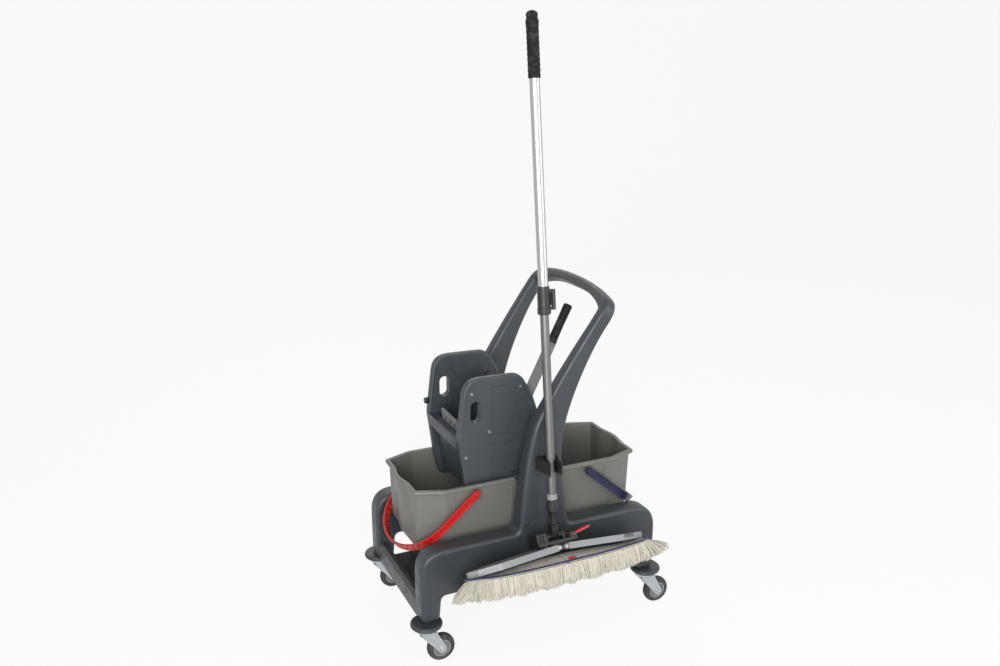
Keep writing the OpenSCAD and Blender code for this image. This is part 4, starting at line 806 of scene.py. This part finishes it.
# %% Buckets
def join(*parts):
    """Several (points, faces) lists as one."""
    points, faces, start = [], [], 0
    for p, f in parts:
        p = np.asarray(p).reshape(-1, 3)
        points.append(p)
        faces += [[i + start for i in face] for face in f]
        start += len(p)
    return np.concatenate(points), faces


HALF_TURN = [-1, -1, 1]
beads = [side_bead(x, side) for x in BEAD_PLACES for side in (-1, 1)]
bucket_points, bucket_faces = join(shell, *fittings(BOSS), *beads)
front_bucket = piece("front_bucket_moulding", bucket_points, bucket_faces, bucket_grey, "front_bucket")
turned_points = bucket_points * HALF_TURN
rear_bucket = piece("rear_bucket_moulding", turned_points, bucket_faces, bucket_grey, "rear_bucket")
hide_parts("front_bucket")
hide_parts("rear_bucket")
pin_points, pin_faces = join(*fittings(PIN))
front_pins = piece("front_bucket_pins", pin_points, pin_faces, bail_red, "front_bucket")
rear_pins = piece("rear_bucket_pins", pin_points * HALF_TURN, pin_faces, bail_blue, "rear_bucket")
print("bucket faces:", len(front_bucket.data.polygons))

# %% [markdown]
# ## The bails
# A bail is the bucket's carrying handle: a flat band with a raised lip along both borders, bent round the
# bucket's end, with two round eyes on the bucket's pins. A curve object with a profile would end square.
# As an array, the profile is carried along the path and narrows to a round eye by a formula.

# %% Bail band
BAIL_REACH, BAIL_BAND, BAIL_T, BAIL_STRAIGHT, BAIL_HANG = 248.0, 22.0, 5.0, 130.0, math.radians(40.0)
BAIL_MID, BAIL_BOW, BAIL_EYE = BAIL_OUT - BAIL_T / 2, BAIL_REACH - BAIL_T / 2 - BAIL_STRAIGHT, BAIL_BAND / 2
LIP_W, LIP_H, LIP_FROM, LIP_RUN, LIP_LEAST = 3.0, 1.5, 25.0, 6.0, 0.02
FACE = BAIL_T / 2
half_profile = [(FACE + LIP_H, BAIL_EYE, 1.0), (FACE + LIP_H, BAIL_EYE - LIP_W, 0.6),
                (FACE, BAIL_EYE - LIP_W, 0.6)]
band_profile = ring([(-FACE, -BAIL_EYE, 1.2)] + [(n, -z, r) for n, z, r in half_profile] + half_profile[::-1]
                    + [(-FACE, BAIL_EYE, 1.2)], 4)
print("band profile points:", len(band_profile))


def on_bail(points):
    """Points of a level bail that reaches along X from its pins, hung on the front bucket."""
    x, y, z = np.moveaxis(points, -1, 0)
    c, s = math.cos(BAIL_HANG), math.sin(BAIL_HANG)
    return np.stack([-BAIL_X - c * x - s * z, -y, BAIL_Z - s * x + c * z], -1)


def bow(a):
    """Points of the half ellipse at angles from the far side, and its outward normals."""
    line = np.stack([BAIL_STRAIGHT + BAIL_BOW * np.cos(a), BAIL_MID * np.sin(a)], -1)
    return line, unit(np.stack([np.cos(a) / BAIL_BOW, np.sin(a) / BAIL_MID], -1))


def bail_band():
    """The band: straight arms and half an ellipse. The profile narrows to a round eye at both ends, as the
    root of the eye's radius squared less the distance squared, and its lips rise after the eyes."""
    arm = np.concatenate([-BAIL_EYE * np.cos(np.linspace(0.08, math.pi / 2, 10)),
                          np.linspace(0, BAIL_STRAIGHT, 40)[1:-1]])
    line, normal = bow(np.linspace(-math.pi / 2, math.pi / 2, 141))
    near = np.column_stack([arm, np.full(len(arm), -BAIL_MID)])
    line = np.concatenate([near, line, near[::-1] * [1, -1]])
    aside = np.tile([0, 1], (len(arm), 1))
    normal = np.concatenate([-aside, normal, aside])
    narrow = np.sqrt(BAIL_EYE ** 2 - np.minimum(0, line[:, 0]) ** 2) / BAIL_EYE
    rise = np.clip((line[:, 0] - LIP_FROM) / LIP_RUN, LIP_LEAST, 1)
    n, z = band_profile.T
    out = np.where(n > FACE, FACE + (n - FACE) * rise[:, None], n)
    flat = line[:, None] + out[..., None] * normal[:, None]
    return loft(on_bail(np.concatenate([flat, (narrow[:, None] * z)[..., None]], -1)))


# %% [markdown]
# ### Slots and holes
# A row of slots lightens the bail's far side, and each eye has a hole for its pin. Gaps left in the grid
# would have square corners, so a Boolean cuts with rounded bars. The blue bail is the red one turned
# round, in its own colour.

# %% Bails
def places(mesh):
    """All vertex places of a mesh, in millimetres."""
    flat = np.empty(len(mesh.vertices) * 3, np.float32)
    mesh.vertices.foreach_get("co", flat)
    return flat.reshape(-1, 3).astype(float) / MM


def set_places(mesh, points):
    """Puts all vertices of a mesh at points in millimetres."""
    mesh.vertices.foreach_set("co", (points * MM).ravel())


def settle(obj):
    """Gives an object the mesh that its modifiers make, and takes them off."""
    made = bpy.data.meshes.new_from_object(obj.evaluated_get(bpy.context.evaluated_depsgraph_get()))
    obj.modifiers.clear()
    obj.data = made
    return made


SLOT_W, SLOT_H, SLOT_R, SLOT_DEEP, SLOT_ANGLES = 3.5, 5.5, 2.4, 10.0, range(-54, 55, 9)


def slot_bar(a):
    """A bar with rounded corners through the band, at an angle of the bow."""
    centre, normal = bow(np.array(a))
    bar = ring([(k * SLOT_W, j * SLOT_H, SLOT_R) for k, j in ((-1, -1), (1, -1), (1, 1), (-1, 1))], 4)
    section = centre + bar[:, :1] * np.array([-normal[1], normal[0]])
    return loft([on_bail(np.column_stack([section + deep * normal, bar[:, 1]]))
                 for deep in (-SLOT_DEEP, SLOT_DEEP)])


HOLE_R, HOLE_END = BAIL_PIN + 0.4, 160
hole_points, hole_faces = rod((0, -HOLE_END, 0), (0, 1, 0), [(HOLE_R, 0), (HOLE_R, 2 * HOLE_END)], 40)
hole_points = on_bail(hole_points)
hole = hole_points, outward(hole_points, hole_faces)
bars = join(hole, *[slot_bar(math.radians(a)) for a in SLOT_ANGLES])
cutter = piece("bail_cutter", *bars, bail_red, None)
red_band = piece("red_bail_band", *bail_band(), bail_red, None)
knife = red_band.modifiers.new("slots", "BOOLEAN")
knife.object, knife.operation, knife.solver = cutter, "DIFFERENCE", "EXACT"
band_mesh = settle(red_band)
bpy.data.objects.remove(cutter)
smoothed(band_mesh, 40.0)
turned_mesh = band_mesh.copy()
set_places(turned_mesh, places(turned_mesh) * HALF_TURN)
turned_mesh.materials.clear()
turned_mesh.materials.append(bail_blue)
blue_band = linked("blue_bail_band", turned_mesh)
for made, node in ((red_band, "red_bail"), (blue_band, "blue_bail")):
    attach(made, node)
    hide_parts(node)
print("bail faces:", len(band_mesh.polygons))

# %% [markdown]
# ## The lever's grip
# The wringer's lever ends in a smooth rubber grip, a little thinner in the middle, with a collar at its
# foot and a rounded end. A cylinder with a bevel has no waist, so this is a profile carried round the
# lever's axis.

# %% Lever grip
LEVER_AXIS, LEVER_RAKE = np.array([-16.0, -89.0, 605.3]), math.radians(26.6)
GRIP_FOOT, GRIP_LONG, GRIP_R, END_R = 204.0, 108.0, 13.0, 6.0
BARREL_R, BARREL_FROM, BARREL_WAIST = 12.1, 8.0, 0.7
lever_way = np.array([math.sin(LEVER_RAKE), 0.0, math.cos(LEVER_RAKE)])
barrel = [(BARREL_R - BARREL_WAIST * math.sin(math.pi * k), BARREL_FROM + (GRIP_LONG - 2 * BARREL_FROM) * k)
          for k in np.linspace(0, 1, 15)]
rounded_end = [(BARREL_R - END_R + END_R * math.cos(a), GRIP_LONG - END_R + END_R * math.sin(a))
               for a in np.linspace(0.15, math.pi / 2, 7)]
collar = [(GRIP_R - 1.2, 0.0), (GRIP_R - 0.3, 0.4), (GRIP_R, 1.4), (GRIP_R, 5.0), (BARREL_R, 6.5)]
grip_profile = collar + barrel + rounded_end + [(0.0, GRIP_LONG)]
grip_shape = rod(LEVER_AXIS + GRIP_FOOT * lever_way, lever_way, grip_profile, 40)
lever_grip = piece("lever_grip_rubber", *grip_shape, grip_rubber, "lever")
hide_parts("lever_grip")
print("grip faces:", len(lever_grip.data.polygons))

# %% [markdown]
# ## The mop
# The mop head hangs from the pole's joint, tilted with its near edge up. A cotton pad sags under the two
# wings, a navy piping runs round its edge, and a thick fringe of yarn hangs from it. They could be drawn
# in place, but on a level head their sizes are plain, and one function then tilts them and sets them
# under the joint.

# %% Mop head frame
POLE_LEAN = math.radians(6.84)
CLIP_Y, CLIP_ABOVE = -241.0, 187.0
PIVOT = np.array([-2.0, CLIP_Y - CLIP_ABOVE * math.tan(POLE_LEAN), 325.0])
TILT, TWIST = math.radians(30.0), math.radians(5.0)
print("mop joint at", PIVOT.round(1).tolist())


def head(points):
    """Points of the level mop head, tilted and set under the pole's joint."""
    x, y, z = np.moveaxis(points, -1, 0)
    c, s = math.cos(TILT), math.sin(TILT)
    return np.stack([x, y * c + z * s, -y * s + z * c], -1) + PIVOT


# %% [markdown]
# ### The pad's form
# The wings fold at the hub, so the pad and the fringe are made in two halves. A half's edge is a straight
# run, half an ellipse and a straight run back, measured along the edge, so that yarns can be set at even
# distances. The pad sags in the middle, is puffed up there, and hangs back a little towards level. The
# left half is the mirror of the right one.

# %% Pad's form
PAD_HALF, PAD_STRAIGHT, PAD_END, PAD_T = 60.0, 200.0, 56.0, 14.0
PAD_SAG, PAD_LIFT, PAD_PUFF, PUFF_END, WING_L = -59.0, 4.5, 12.0, 185.0, 243.0
EDGE_ARC = math.pi * (PAD_HALF + PAD_END) / 2
EDGE_ALL = 2 * PAD_STRAIGHT + EDGE_ARC
print("edge of a half:", round(EDGE_ALL, 1), "mm")


def pad_top(x):
    """Height of the pad's top: lowest in the middle, lifted towards the wing tips."""
    return PAD_SAG + PAD_LIFT * (np.minimum(np.abs(x), WING_L) / WING_L) ** 4


def puff(x, y):
    """How far the pad's top is puffed up above its edge: a parabola along it times a parabola across it."""
    return PAD_PUFF * np.maximum(0, 1 - (x / PUFF_END) ** 2) * np.maximum(0, 1 - (y / PAD_HALF) ** 2)


def hang(x):
    """How far the pad hangs back towards level: most in the middle, and not at the wing tips."""
    return TWIST * (1 - np.minimum(1, np.abs(x) / WING_L) ** 3)


def hung(points):
    """Points of the pad, turned back by that angle and set on the mop head."""
    x, y, z = np.moveaxis(points, -1, 0)
    a = hang(x)
    return head(np.stack([x, y * np.cos(a) - z * np.sin(a), y * np.sin(a) + z * np.cos(a)], -1))


def set_half(points, side):
    """Points of the right half, hung on the mop head, and mirrored about the pole for the left half, whose
    side is -1."""
    return hung(points) * [side, 1, 1] + [PIVOT[0] * (1 - side), 0, 0]


def edge_turn(d):
    """Direction round the pad's end at a distance along its edge: -90 degrees on the near side, 90 degrees
    on the far side, and evenly between them round the end."""
    return np.clip(-math.pi / 2 + math.pi * (d - PAD_STRAIGHT) / EDGE_ARC, -math.pi / 2, math.pi / 2)


def edge(d, k, h):
    """A point on the right half's edge at a distance along it, drawn in by k and lowered by h."""
    a = edge_turn(d)
    x = np.minimum(d, PAD_STRAIGHT) - np.maximum(0, d - PAD_STRAIGHT - EDGE_ARC) + (PAD_END - k) * np.cos(a)
    return np.stack([x, (PAD_HALF - k) * np.sin(a), pad_top(x) - PAD_T / 2 - h], -1)


# %% [markdown]
# ### Cotton
# Cotton is not one colour: each yarn is a little lighter or darker than the next, and the two plies of a
# yarn make a slanted pattern along it. A noise can't follow a yarn that bends, so the yarns carry a UV
# map, with one turn round the yarn across it and metres along it, and an attribute with the yarn's own
# shade. The woven pieces are nearly flat, so crossed waves on Object coordinates are enough.

# %% Cotton materials
PLY_TURNS, PLY_SHIFT, SHEEN_ROUGHNESS = 130.0, 0.05, 0.5


def sheen(material, weight):
    """The pale glow of cloth that is seen at a low angle."""
    inputs = material.node_tree.nodes["Principled BSDF"].inputs
    inputs["Sheen Weight"].default_value, inputs["Sheen Roughness"].default_value = weight, SHEEN_ROUGHNESS


def cotton_yarn():
    """Yarn: slanted plies from the UV map, and a shade for each yarn from an attribute."""
    material, place, add, link = finish("cotton_yarn", (0.56, 0.525, 0.445), 0.9)
    tree = material.node_tree
    split = add("ShaderNodeSeparateXYZ", Vector=add("ShaderNodeUVMap", uv_map="yarn").outputs["UV"]).outputs
    slant = combine(tree, "ADD", combine(tree, "MULTIPLY", split["Y"], PLY_TURNS), split["X"])
    ply = spread(add, combine(tree, "PINGPONG", slant, 0.5), 0.0, 0.5, 0.0, 1.0)
    fuzz = noise(add, place, 900.0, 4.0)
    own = add("ShaderNodeAttribute", attribute_name="yarn_shade").outputs["Fac"]
    base = tint(add, own, (0.49, 0.455, 0.375), (0.63, 0.60, 0.525))
    dark = tint(add, spread(add, ply, 0.0, 0.5, 0.45, 1.0), (0.44, 0.40, 0.325), base)
    link(tint(add, spread(add, fuzz, *WIDE_NOISE, 0.0, 0.4), dark, (0.61, 0.585, 0.505)), "Base Color")
    bump(add, link, combine(tree, "ADD", ply, fuzz), 0.7, 0.0006)
    sheen(material, 0.25)
    return material


def woven(name, colour, thread):
    """Plain weave: two crossed waves on Object coordinates, with a coarser drift of tone."""
    material, place, add, link = finish(name, colour, 0.88)
    warp, weft = (add("ShaderNodeTexWave", Vector=place, Scale=thread, Distortion=1.2, bands_direction=way)
                  for way in ("X", "Y"))
    weave = combine(material.node_tree, "MULTIPLY", warp.outputs["Fac"], weft.outputs["Fac"])
    slow = noise(add, place, 30.0, 4.0)
    base = tint(add, spread(add, slow, *MID_NOISE, 0.0, 1.0), shade(colour, 0.86), shade(colour, 1.06))
    link(tint(add, spread(add, weave, 0.0, 1.0, 0.45, 0.0), base, shade(colour, 0.55)), "Base Color")
    bump(add, link, weave, 0.6, 0.0003)
    sheen(material, 0.2)
    return material


yarn_cotton = cotton_yarn()
pad_cotton = woven("pad_cotton", (0.70, 0.66, 0.57), 420.0)
piping_navy = woven("piping_navy", (0.008, 0.010, 0.088), 520.0)
tag_red = woven("tag_red", (0.56, 0.03, 0.035), 520.0)
print("cotton finishes:", yarn_cotton.name, pad_cotton.name, piping_navy.name, tag_red.name)

# %% [markdown]
# ### The fringe
# Each yarn is a thin tube along a curve: it leaves the pad's edge, leans outwards, and hangs. At the ends
# of the mop the yarns splay. Hair particles could make strands, but these yarns are a mesh.
# All yarns of a half are worked out as one array: yarn, step along it, and side.

# %% Yarns
# Each row of yarns: how far it is drawn in from the pad's edge, how far it is lowered, and a number that
# grows from row to row.
YARN_ROWS = ((0.5, 2.0, 0.0), (2.5, 2.6, 0.7), (5.0, 3.2, 1.4), (7.5, 3.6, 2.1), (10.5, 4.0, 2.8))
YARN_PITCH, YARN_R, YARN_STEPS, YARN_SIDES = 2.3, 1.5, 8, 5
FRINGE_L, LOCK_W, SEEDS = 62.0, 17.0, {1: 11, -1: 12}
LIFT, LIFT_ROW, LIFT_END, LIFT_RIGHT, LIFT_EDGE = 9, 2.4, 38, 13, 9
YARN_SHIFT, LEAN_RANGE, LENGTH_RANGE, GIRTH_RANGE = 0.9, (0.72, 1.2), (0.84, 1.0), (0.8, 1.15)
DRIFT_SPREAD, SWAY_SPREAD, LEAN_SHARE = 1.5, 1.6, 0.33
# The fringe's lower border is ragged by two waves, and the locks of yarn drift by a third: height and length.
RAGGED_SLOW, RAGGED_FAST, DRIFT_WAVE = (3.0, 13.0), (2.0, 5.1), (2.4, 23.0)
# A lock pulls its yarns together or apart by a share, which the sine of its number times a jump scales.
LOCK_PULL, LOCK_JUMP = 0.22, 12.9898
print("yarns in a row of one half:", round(EDGE_ALL / YARN_PITCH))


def fringe(side, seed):
    """Points, faces, lengths and shades of one half's yarns. side is 1 for the right half, -1 for the left.
    A yarn starts on the pad's edge, leans out by its lift, falls its length, and drifts sideways with its
    lock. The lift falls from row to row, is greatest round the end, and is more on the near edge than on the
    far one."""
    chance = np.random.default_rng(seed)
    starts = []
    for yarn_row in YARN_ROWS:
        d = np.arange(1.0 + 0.6 * yarn_row[2], EDGE_ALL, YARN_PITCH)
        d = d + chance.uniform(-YARN_SHIFT, YARN_SHIFT, len(d))
        starts.append(np.column_stack([d, np.tile(yarn_row, (len(d), 1))]))
    d, draw, drop, row = np.concatenate(starts).T
    count = len(d)
    a = edge_turn(d)
    out = np.stack([np.cos(a), np.sin(a), np.zeros(count)], -1)
    beside = np.stack([-np.sin(a), np.cos(a), np.zeros(count)], -1)
    base = edge(d, draw, drop)
    fall = TILT - hang(base[:, 0])
    down = np.stack([np.zeros(count), np.sin(fall), -np.cos(fall)], -1)
    end = np.maximum(0, np.cos(a)) ** 1.5
    lift = LIFT - LIFT_ROW * row + (LIFT_END + LIFT_RIGHT * side) * end - LIFT_EDGE * np.sin(a)
    lean = lift * chance.uniform(*LEAN_RANGE, count)
    ragged = (RAGGED_SLOW[0] * np.sin(d / RAGGED_SLOW[1] + 2.0 * side)
              + RAGGED_FAST[0] * np.sin(d / RAGGED_FAST[1] + row))
    long = FRINGE_L * chance.uniform(*LENGTH_RANGE, count) + ragged - LEAN_SHARE * lean
    lock = np.floor(d / LOCK_W + 0.3 * np.sin(d / 40.0))
    to_lock = (lock + 0.5) * LOCK_W - d
    pull = LOCK_PULL * to_lock * np.sin(lock * LOCK_JUMP + side)
    drift = pull + DRIFT_WAVE[0] * np.sin(d / DRIFT_WAVE[1] + 0.6) + chance.normal(0, DRIFT_SPREAD, count)
    sway = chance.normal(0, SWAY_SPREAD, count)
    curl = chance.uniform(0, 2 * math.pi, count)
    t = np.linspace(0, 1, YARN_STEPS)[None, :, None]
    swing = (1.35 * t - 0.35 * t ** 2)
    wave = sway[:, None, None] * np.sin(math.pi * t) + 0.7 * t * np.sin(9.0 * t + curl[:, None, None])
    line = (base[:, None] + out[:, None] * lean[:, None, None] * swing
            + down[:, None] * long[:, None, None] * t
            + beside[:, None] * (drift[:, None, None] * t ** 1.5 + wave))
    along_line = unit(np.gradient(line, axis=1))
    first = unit(np.cross(along_line, beside[:, None]))
    second = np.cross(along_line, first)
    girth = (0.92 + 0.2 * np.sin(math.pi * t[0, :, 0])) * np.where(t[0, :, 0] == 1, 0.6, 1.0)
    radius = YARN_R * chance.uniform(*GIRTH_RANGE, count)[:, None] * girth
    tubes = set_half(rings_round(line, radius, first, second, YARN_SIDES), side)
    quads = grid_faces(YARN_STEPS, YARN_SIDES, True)
    tip = np.arange((YARN_STEPS - 1) * YARN_SIDES, YARN_STEPS * YARN_SIDES)
    root = np.arange(YARN_SIDES)[::-1]
    offsets = np.arange(count)[:, None, None] * YARN_STEPS * YARN_SIDES
    if side > 0:
        quads, tip, root = quads[:, ::-1], tip[::-1], root[::-1]
    faces = (quads[None] + offsets).reshape(-1, 4).tolist()
    faces += (tip[None] + offsets[:, 0]).tolist() + (root[None] + offsets[:, 0]).tolist()
    return tubes, faces, long, chance.uniform(0, 1, count)


# %% [markdown]
# ### The fringe's pieces
# Each half of the fringe is one mesh, because a thousand objects would be slow. Its UV map and its
# attribute are written as whole arrays, one value for each corner of a face and one for each point.

# %% Fringe
def make_fringe(side, name):
    """The fringe object of one half. Its UV map has a turn round the yarn and metres along it, started at a
    place of the yarn's own so that the plies of neighbours don't line up."""
    points, faces, long, own = fringe(side, SEEDS[side])
    obj = piece(name, points, faces, yarn_cotton, None, 60.0)
    count = len(long)
    ring_size = YARN_STEPS * YARN_SIDES
    obj.data.attributes.new("yarn_shade", "FLOAT", "POINT").data.foreach_set(
        "value", np.repeat(own, ring_size).astype(np.float32))
    corner_vertex = np.zeros(len(obj.data.loops), np.int32)
    obj.data.loops.foreach_get("vertex_index", corner_vertex)
    within, yarn = corner_vertex % ring_size, corner_vertex // ring_size
    u = (within % YARN_SIDES) / YARN_SIDES
    wrap = u[:4 * (YARN_STEPS - 1) * YARN_SIDES * count].reshape(-1, 4)
    seam = wrap.max(1) > 0.7
    wrap[seam] = np.where(wrap[seam] == 0, 1.0, wrap[seam])
    v = (within // YARN_SIDES) / (YARN_STEPS - 1) * long[yarn] * MM + own[yarn] * PLY_SHIFT
    corner_uv = np.column_stack([u, v]).astype(np.float32)
    obj.data.uv_layers.new(name="yarn").data.foreach_set("uv", corner_uv.ravel())
    return obj


right_fringe = make_fringe(1, "right_fringe_yarns")
left_fringe = make_fringe(-1, "left_fringe_yarns")
print("fringe faces:", len(right_fringe.data.polygons), len(left_fringe.data.polygons))

# %% [markdown]
# ### The pad as a cushion
# The pad is padded cloth, so it is simulated from a thin closed cushion. Its sections are flat ovals, low
# at the edge and puffed up under the wings. A box would keep its straight borders, which cloth never has.

# %% Cushion
PAD_CUT, PAD_SWELL, PAD_CELL = PAD_T - 4.5, 2.0, 0.005
PAD_TAPER, PAD_FULL = 14.0, 0.7
SEWN_EDGE, SEAM_Y, SEAM_HALF = 5.0, 21.0, 2.6
AIR_PRESSURE, AIR_FRAMES = 40.0, 20


def pad_half(x):
    """Half the pad's width at a distance from the middle: even, then the half of an ellipse."""
    return PAD_HALF * np.sqrt(np.maximum(0, 1 - (np.maximum(0, x - PAD_STRAIGHT) / PAD_END) ** 2))


def pad_start():
    """The right half's thin cushion: cross-sections along X, each a flat oval with its sharp ends at the
    edge. Its height is a power of the sine, and the upper half is puffed."""
    x = np.concatenate([np.linspace(0.4, PAD_STRAIGHT, 40),
                        PAD_STRAIGHT + PAD_END * np.sin(np.linspace(0.08, 0.49 * math.pi, 14))])
    half = pad_half(x)
    a = np.linspace(0, 2 * math.pi, 48, endpoint=False)
    thick = PAD_CUT / 2 * np.minimum(1, half / PAD_TAPER)
    y = half[:, None] * np.cos(a)
    oval = np.sign(np.sin(a)) * np.abs(np.sin(a)) ** PAD_FULL
    z = (pad_top(x) - PAD_T / 2)[:, None] + thick[:, None] * oval
    z += puff(x[:, None], y) * (np.sin(a) > 0)
    return loft(np.stack([np.repeat(x[:, None], len(a), 1), y, z], -1))


# %% [markdown]
# ### Air in the pad
# The cushion is cut into cells of 5 mm. Its edge and two lengthwise seams are sewn down, and air pressure
# swells the rest for 20 frames, by 2 mm at most. Sculpting could do this too, but not the same way twice.
# It happens on the level pad, which is then hung.

# %% Pad
def swell(obj, cap):
    """Cloth with air pressure on a closed mesh, held where the pad is sewn; no point moves more than cap."""
    start = places(obj.data)
    from_edge = pad_half(start[:, 0]) - np.abs(start[:, 1])
    on_seam = np.abs(np.abs(start[:, 1]) - SEAM_Y) < SEAM_HALF
    sewn = (from_edge < SEWN_EDGE) | on_seam | (start[:, 0] < SEWN_EDGE)
    obj.vertex_groups.new(name="sewn").add(np.flatnonzero(sewn).tolist(), 1.0, "REPLACE")
    cloth = obj.modifiers.new("cloth", "CLOTH")
    cloth.settings.vertex_group_mass = "sewn"
    cloth.settings.use_pressure = True
    cloth.settings.uniform_pressure_force = AIR_PRESSURE
    cloth.settings.effector_weights.gravity = 0.0
    for frame_number in range(1, AIR_FRAMES + 1):
        bpy.context.scene.frame_set(frame_number)
    moved = places(obj.evaluated_get(bpy.context.evaluated_depsgraph_get()).data) - start
    obj.modifiers.remove(cloth)
    obj.vertex_groups.clear()
    bpy.context.scene.frame_set(1)
    far = np.linalg.norm(moved, axis=1, keepdims=True)
    print("pad swelled by", round(float(far.mean()), 2), "mm on average, before the cap")
    moved *= np.minimum(1, cap / np.maximum(far, 1e-6))
    set_places(obj.data, start + moved)


def make_pad(side, name):
    """One half of the pad: remeshed, swelled, smoothed once, hung, and turned over for the left half."""
    obj = piece(name, *pad_start(), pad_cotton, None, 60.0)
    cells = obj.modifiers.new("cells", "REMESH")
    cells.mode, cells.voxel_size, cells.use_smooth_shade = "VOXEL", PAD_CELL, True
    settle(obj)
    swell(obj, PAD_SWELL)
    smooth = obj.modifiers.new("smooth", "SUBSURF")
    smooth.levels = smooth.render_levels = 1
    mesh = settle(obj)
    set_places(mesh, set_half(places(mesh), side))
    if side < 0:
        mesh.flip_normals()
    smoothed(mesh)
    if not mesh.materials:
        mesh.materials.append(pad_cotton)
    mesh.update()
    return obj


right_pad = make_pad(1, "right_pad_cloth")
left_pad = make_pad(-1, "left_pad_cloth")
print("pad faces:", len(right_pad.data.polygons))

# %% [markdown]
# ### Piping and tab
# A navy piping is sewn round the pad's upper edge, and a plain red tab into its near edge. Both could be
# painted on, but they stand up and catch the light. The piping is a tube along the edge's own line, and
# the tab is a grid of two parameters with an underside.

# %% Piping and tab
PIPING_R, PIPING_OUT, PIPING_UP = 2.4, 0.5, 4.0
TAG_FROM, TAG_W, TAG_L, TAG_T = 6.0, 21.0, 11.0, 1.2
TAG_SINK, TAG_RISE, TAG_BOW = 3.2, 3.4, 0.6


def piping(side):
    """A tube along the pad's upper edge."""
    line = edge(np.linspace(0, EDGE_ALL, 140), -PIPING_OUT, -PIPING_UP)
    run_way = unit(np.gradient(line, axis=0))
    side_way = np.cross(run_way, [0, 0, 1.0])
    tube = rings_round(line, np.full(len(line), PIPING_R), side_way, np.cross(side_way, run_way), 10)
    return loft(set_half(tube, side))


def tag():
    """The plain red tab that is sewn into the near edge: a folded strip that lies on the pad. A quarter of a
    sine lifts it from its sewn border, and half a sine bows it along the edge."""
    u, v = np.meshgrid(np.linspace(0, 1, 13), np.linspace(0, 1, 7), indexing="ij")
    x = TAG_FROM + TAG_W * u
    y = -PAD_HALF + 1.0 + TAG_L * v
    rise = TAG_RISE * np.sin(0.5 * math.pi * v)
    z = pad_top(x) + puff(x, y) - TAG_SINK + rise + TAG_BOW * np.sin(math.pi * u)
    top_face = np.stack([x, y, z], -1)
    ring_of = np.concatenate([top_face, (top_face - [0, 0, TAG_T])[:, ::-1]], 1)
    return loft(hung(ring_of))


right_piping = piece("right_pad_piping", *piping(1), piping_navy, None, 60.0)
left_piping = piece("left_pad_piping", *piping(-1), piping_navy, None, 60.0)
pad_tag = piece("pad_edge_tab", *tag(), tag_red, None, 40.0)
print("piping faces:", len(right_piping.data.polygons))

# %% [markdown]
# ### The halves in place
# On the real mop, when a wing folds, its half of the pad, the piping and the fringe fold with it. Here each
# piece only has its place baked into its points, and the CAD pad and fringe of its side are hidden; nothing
# makes it follow the wing.

# %% Bake each half's pieces in place and hide the CAD pad and fringe
for side, word, soft_pieces in ((1, "right", (right_pad, right_piping, right_fringe, pad_tag)),
                                (-1, "left", (left_pad, left_piping, left_fringe))):
    for soft in soft_pieces:
        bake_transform(soft)
    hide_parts(word + "_mop_pad")
    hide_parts(word + "_mop_fringe")
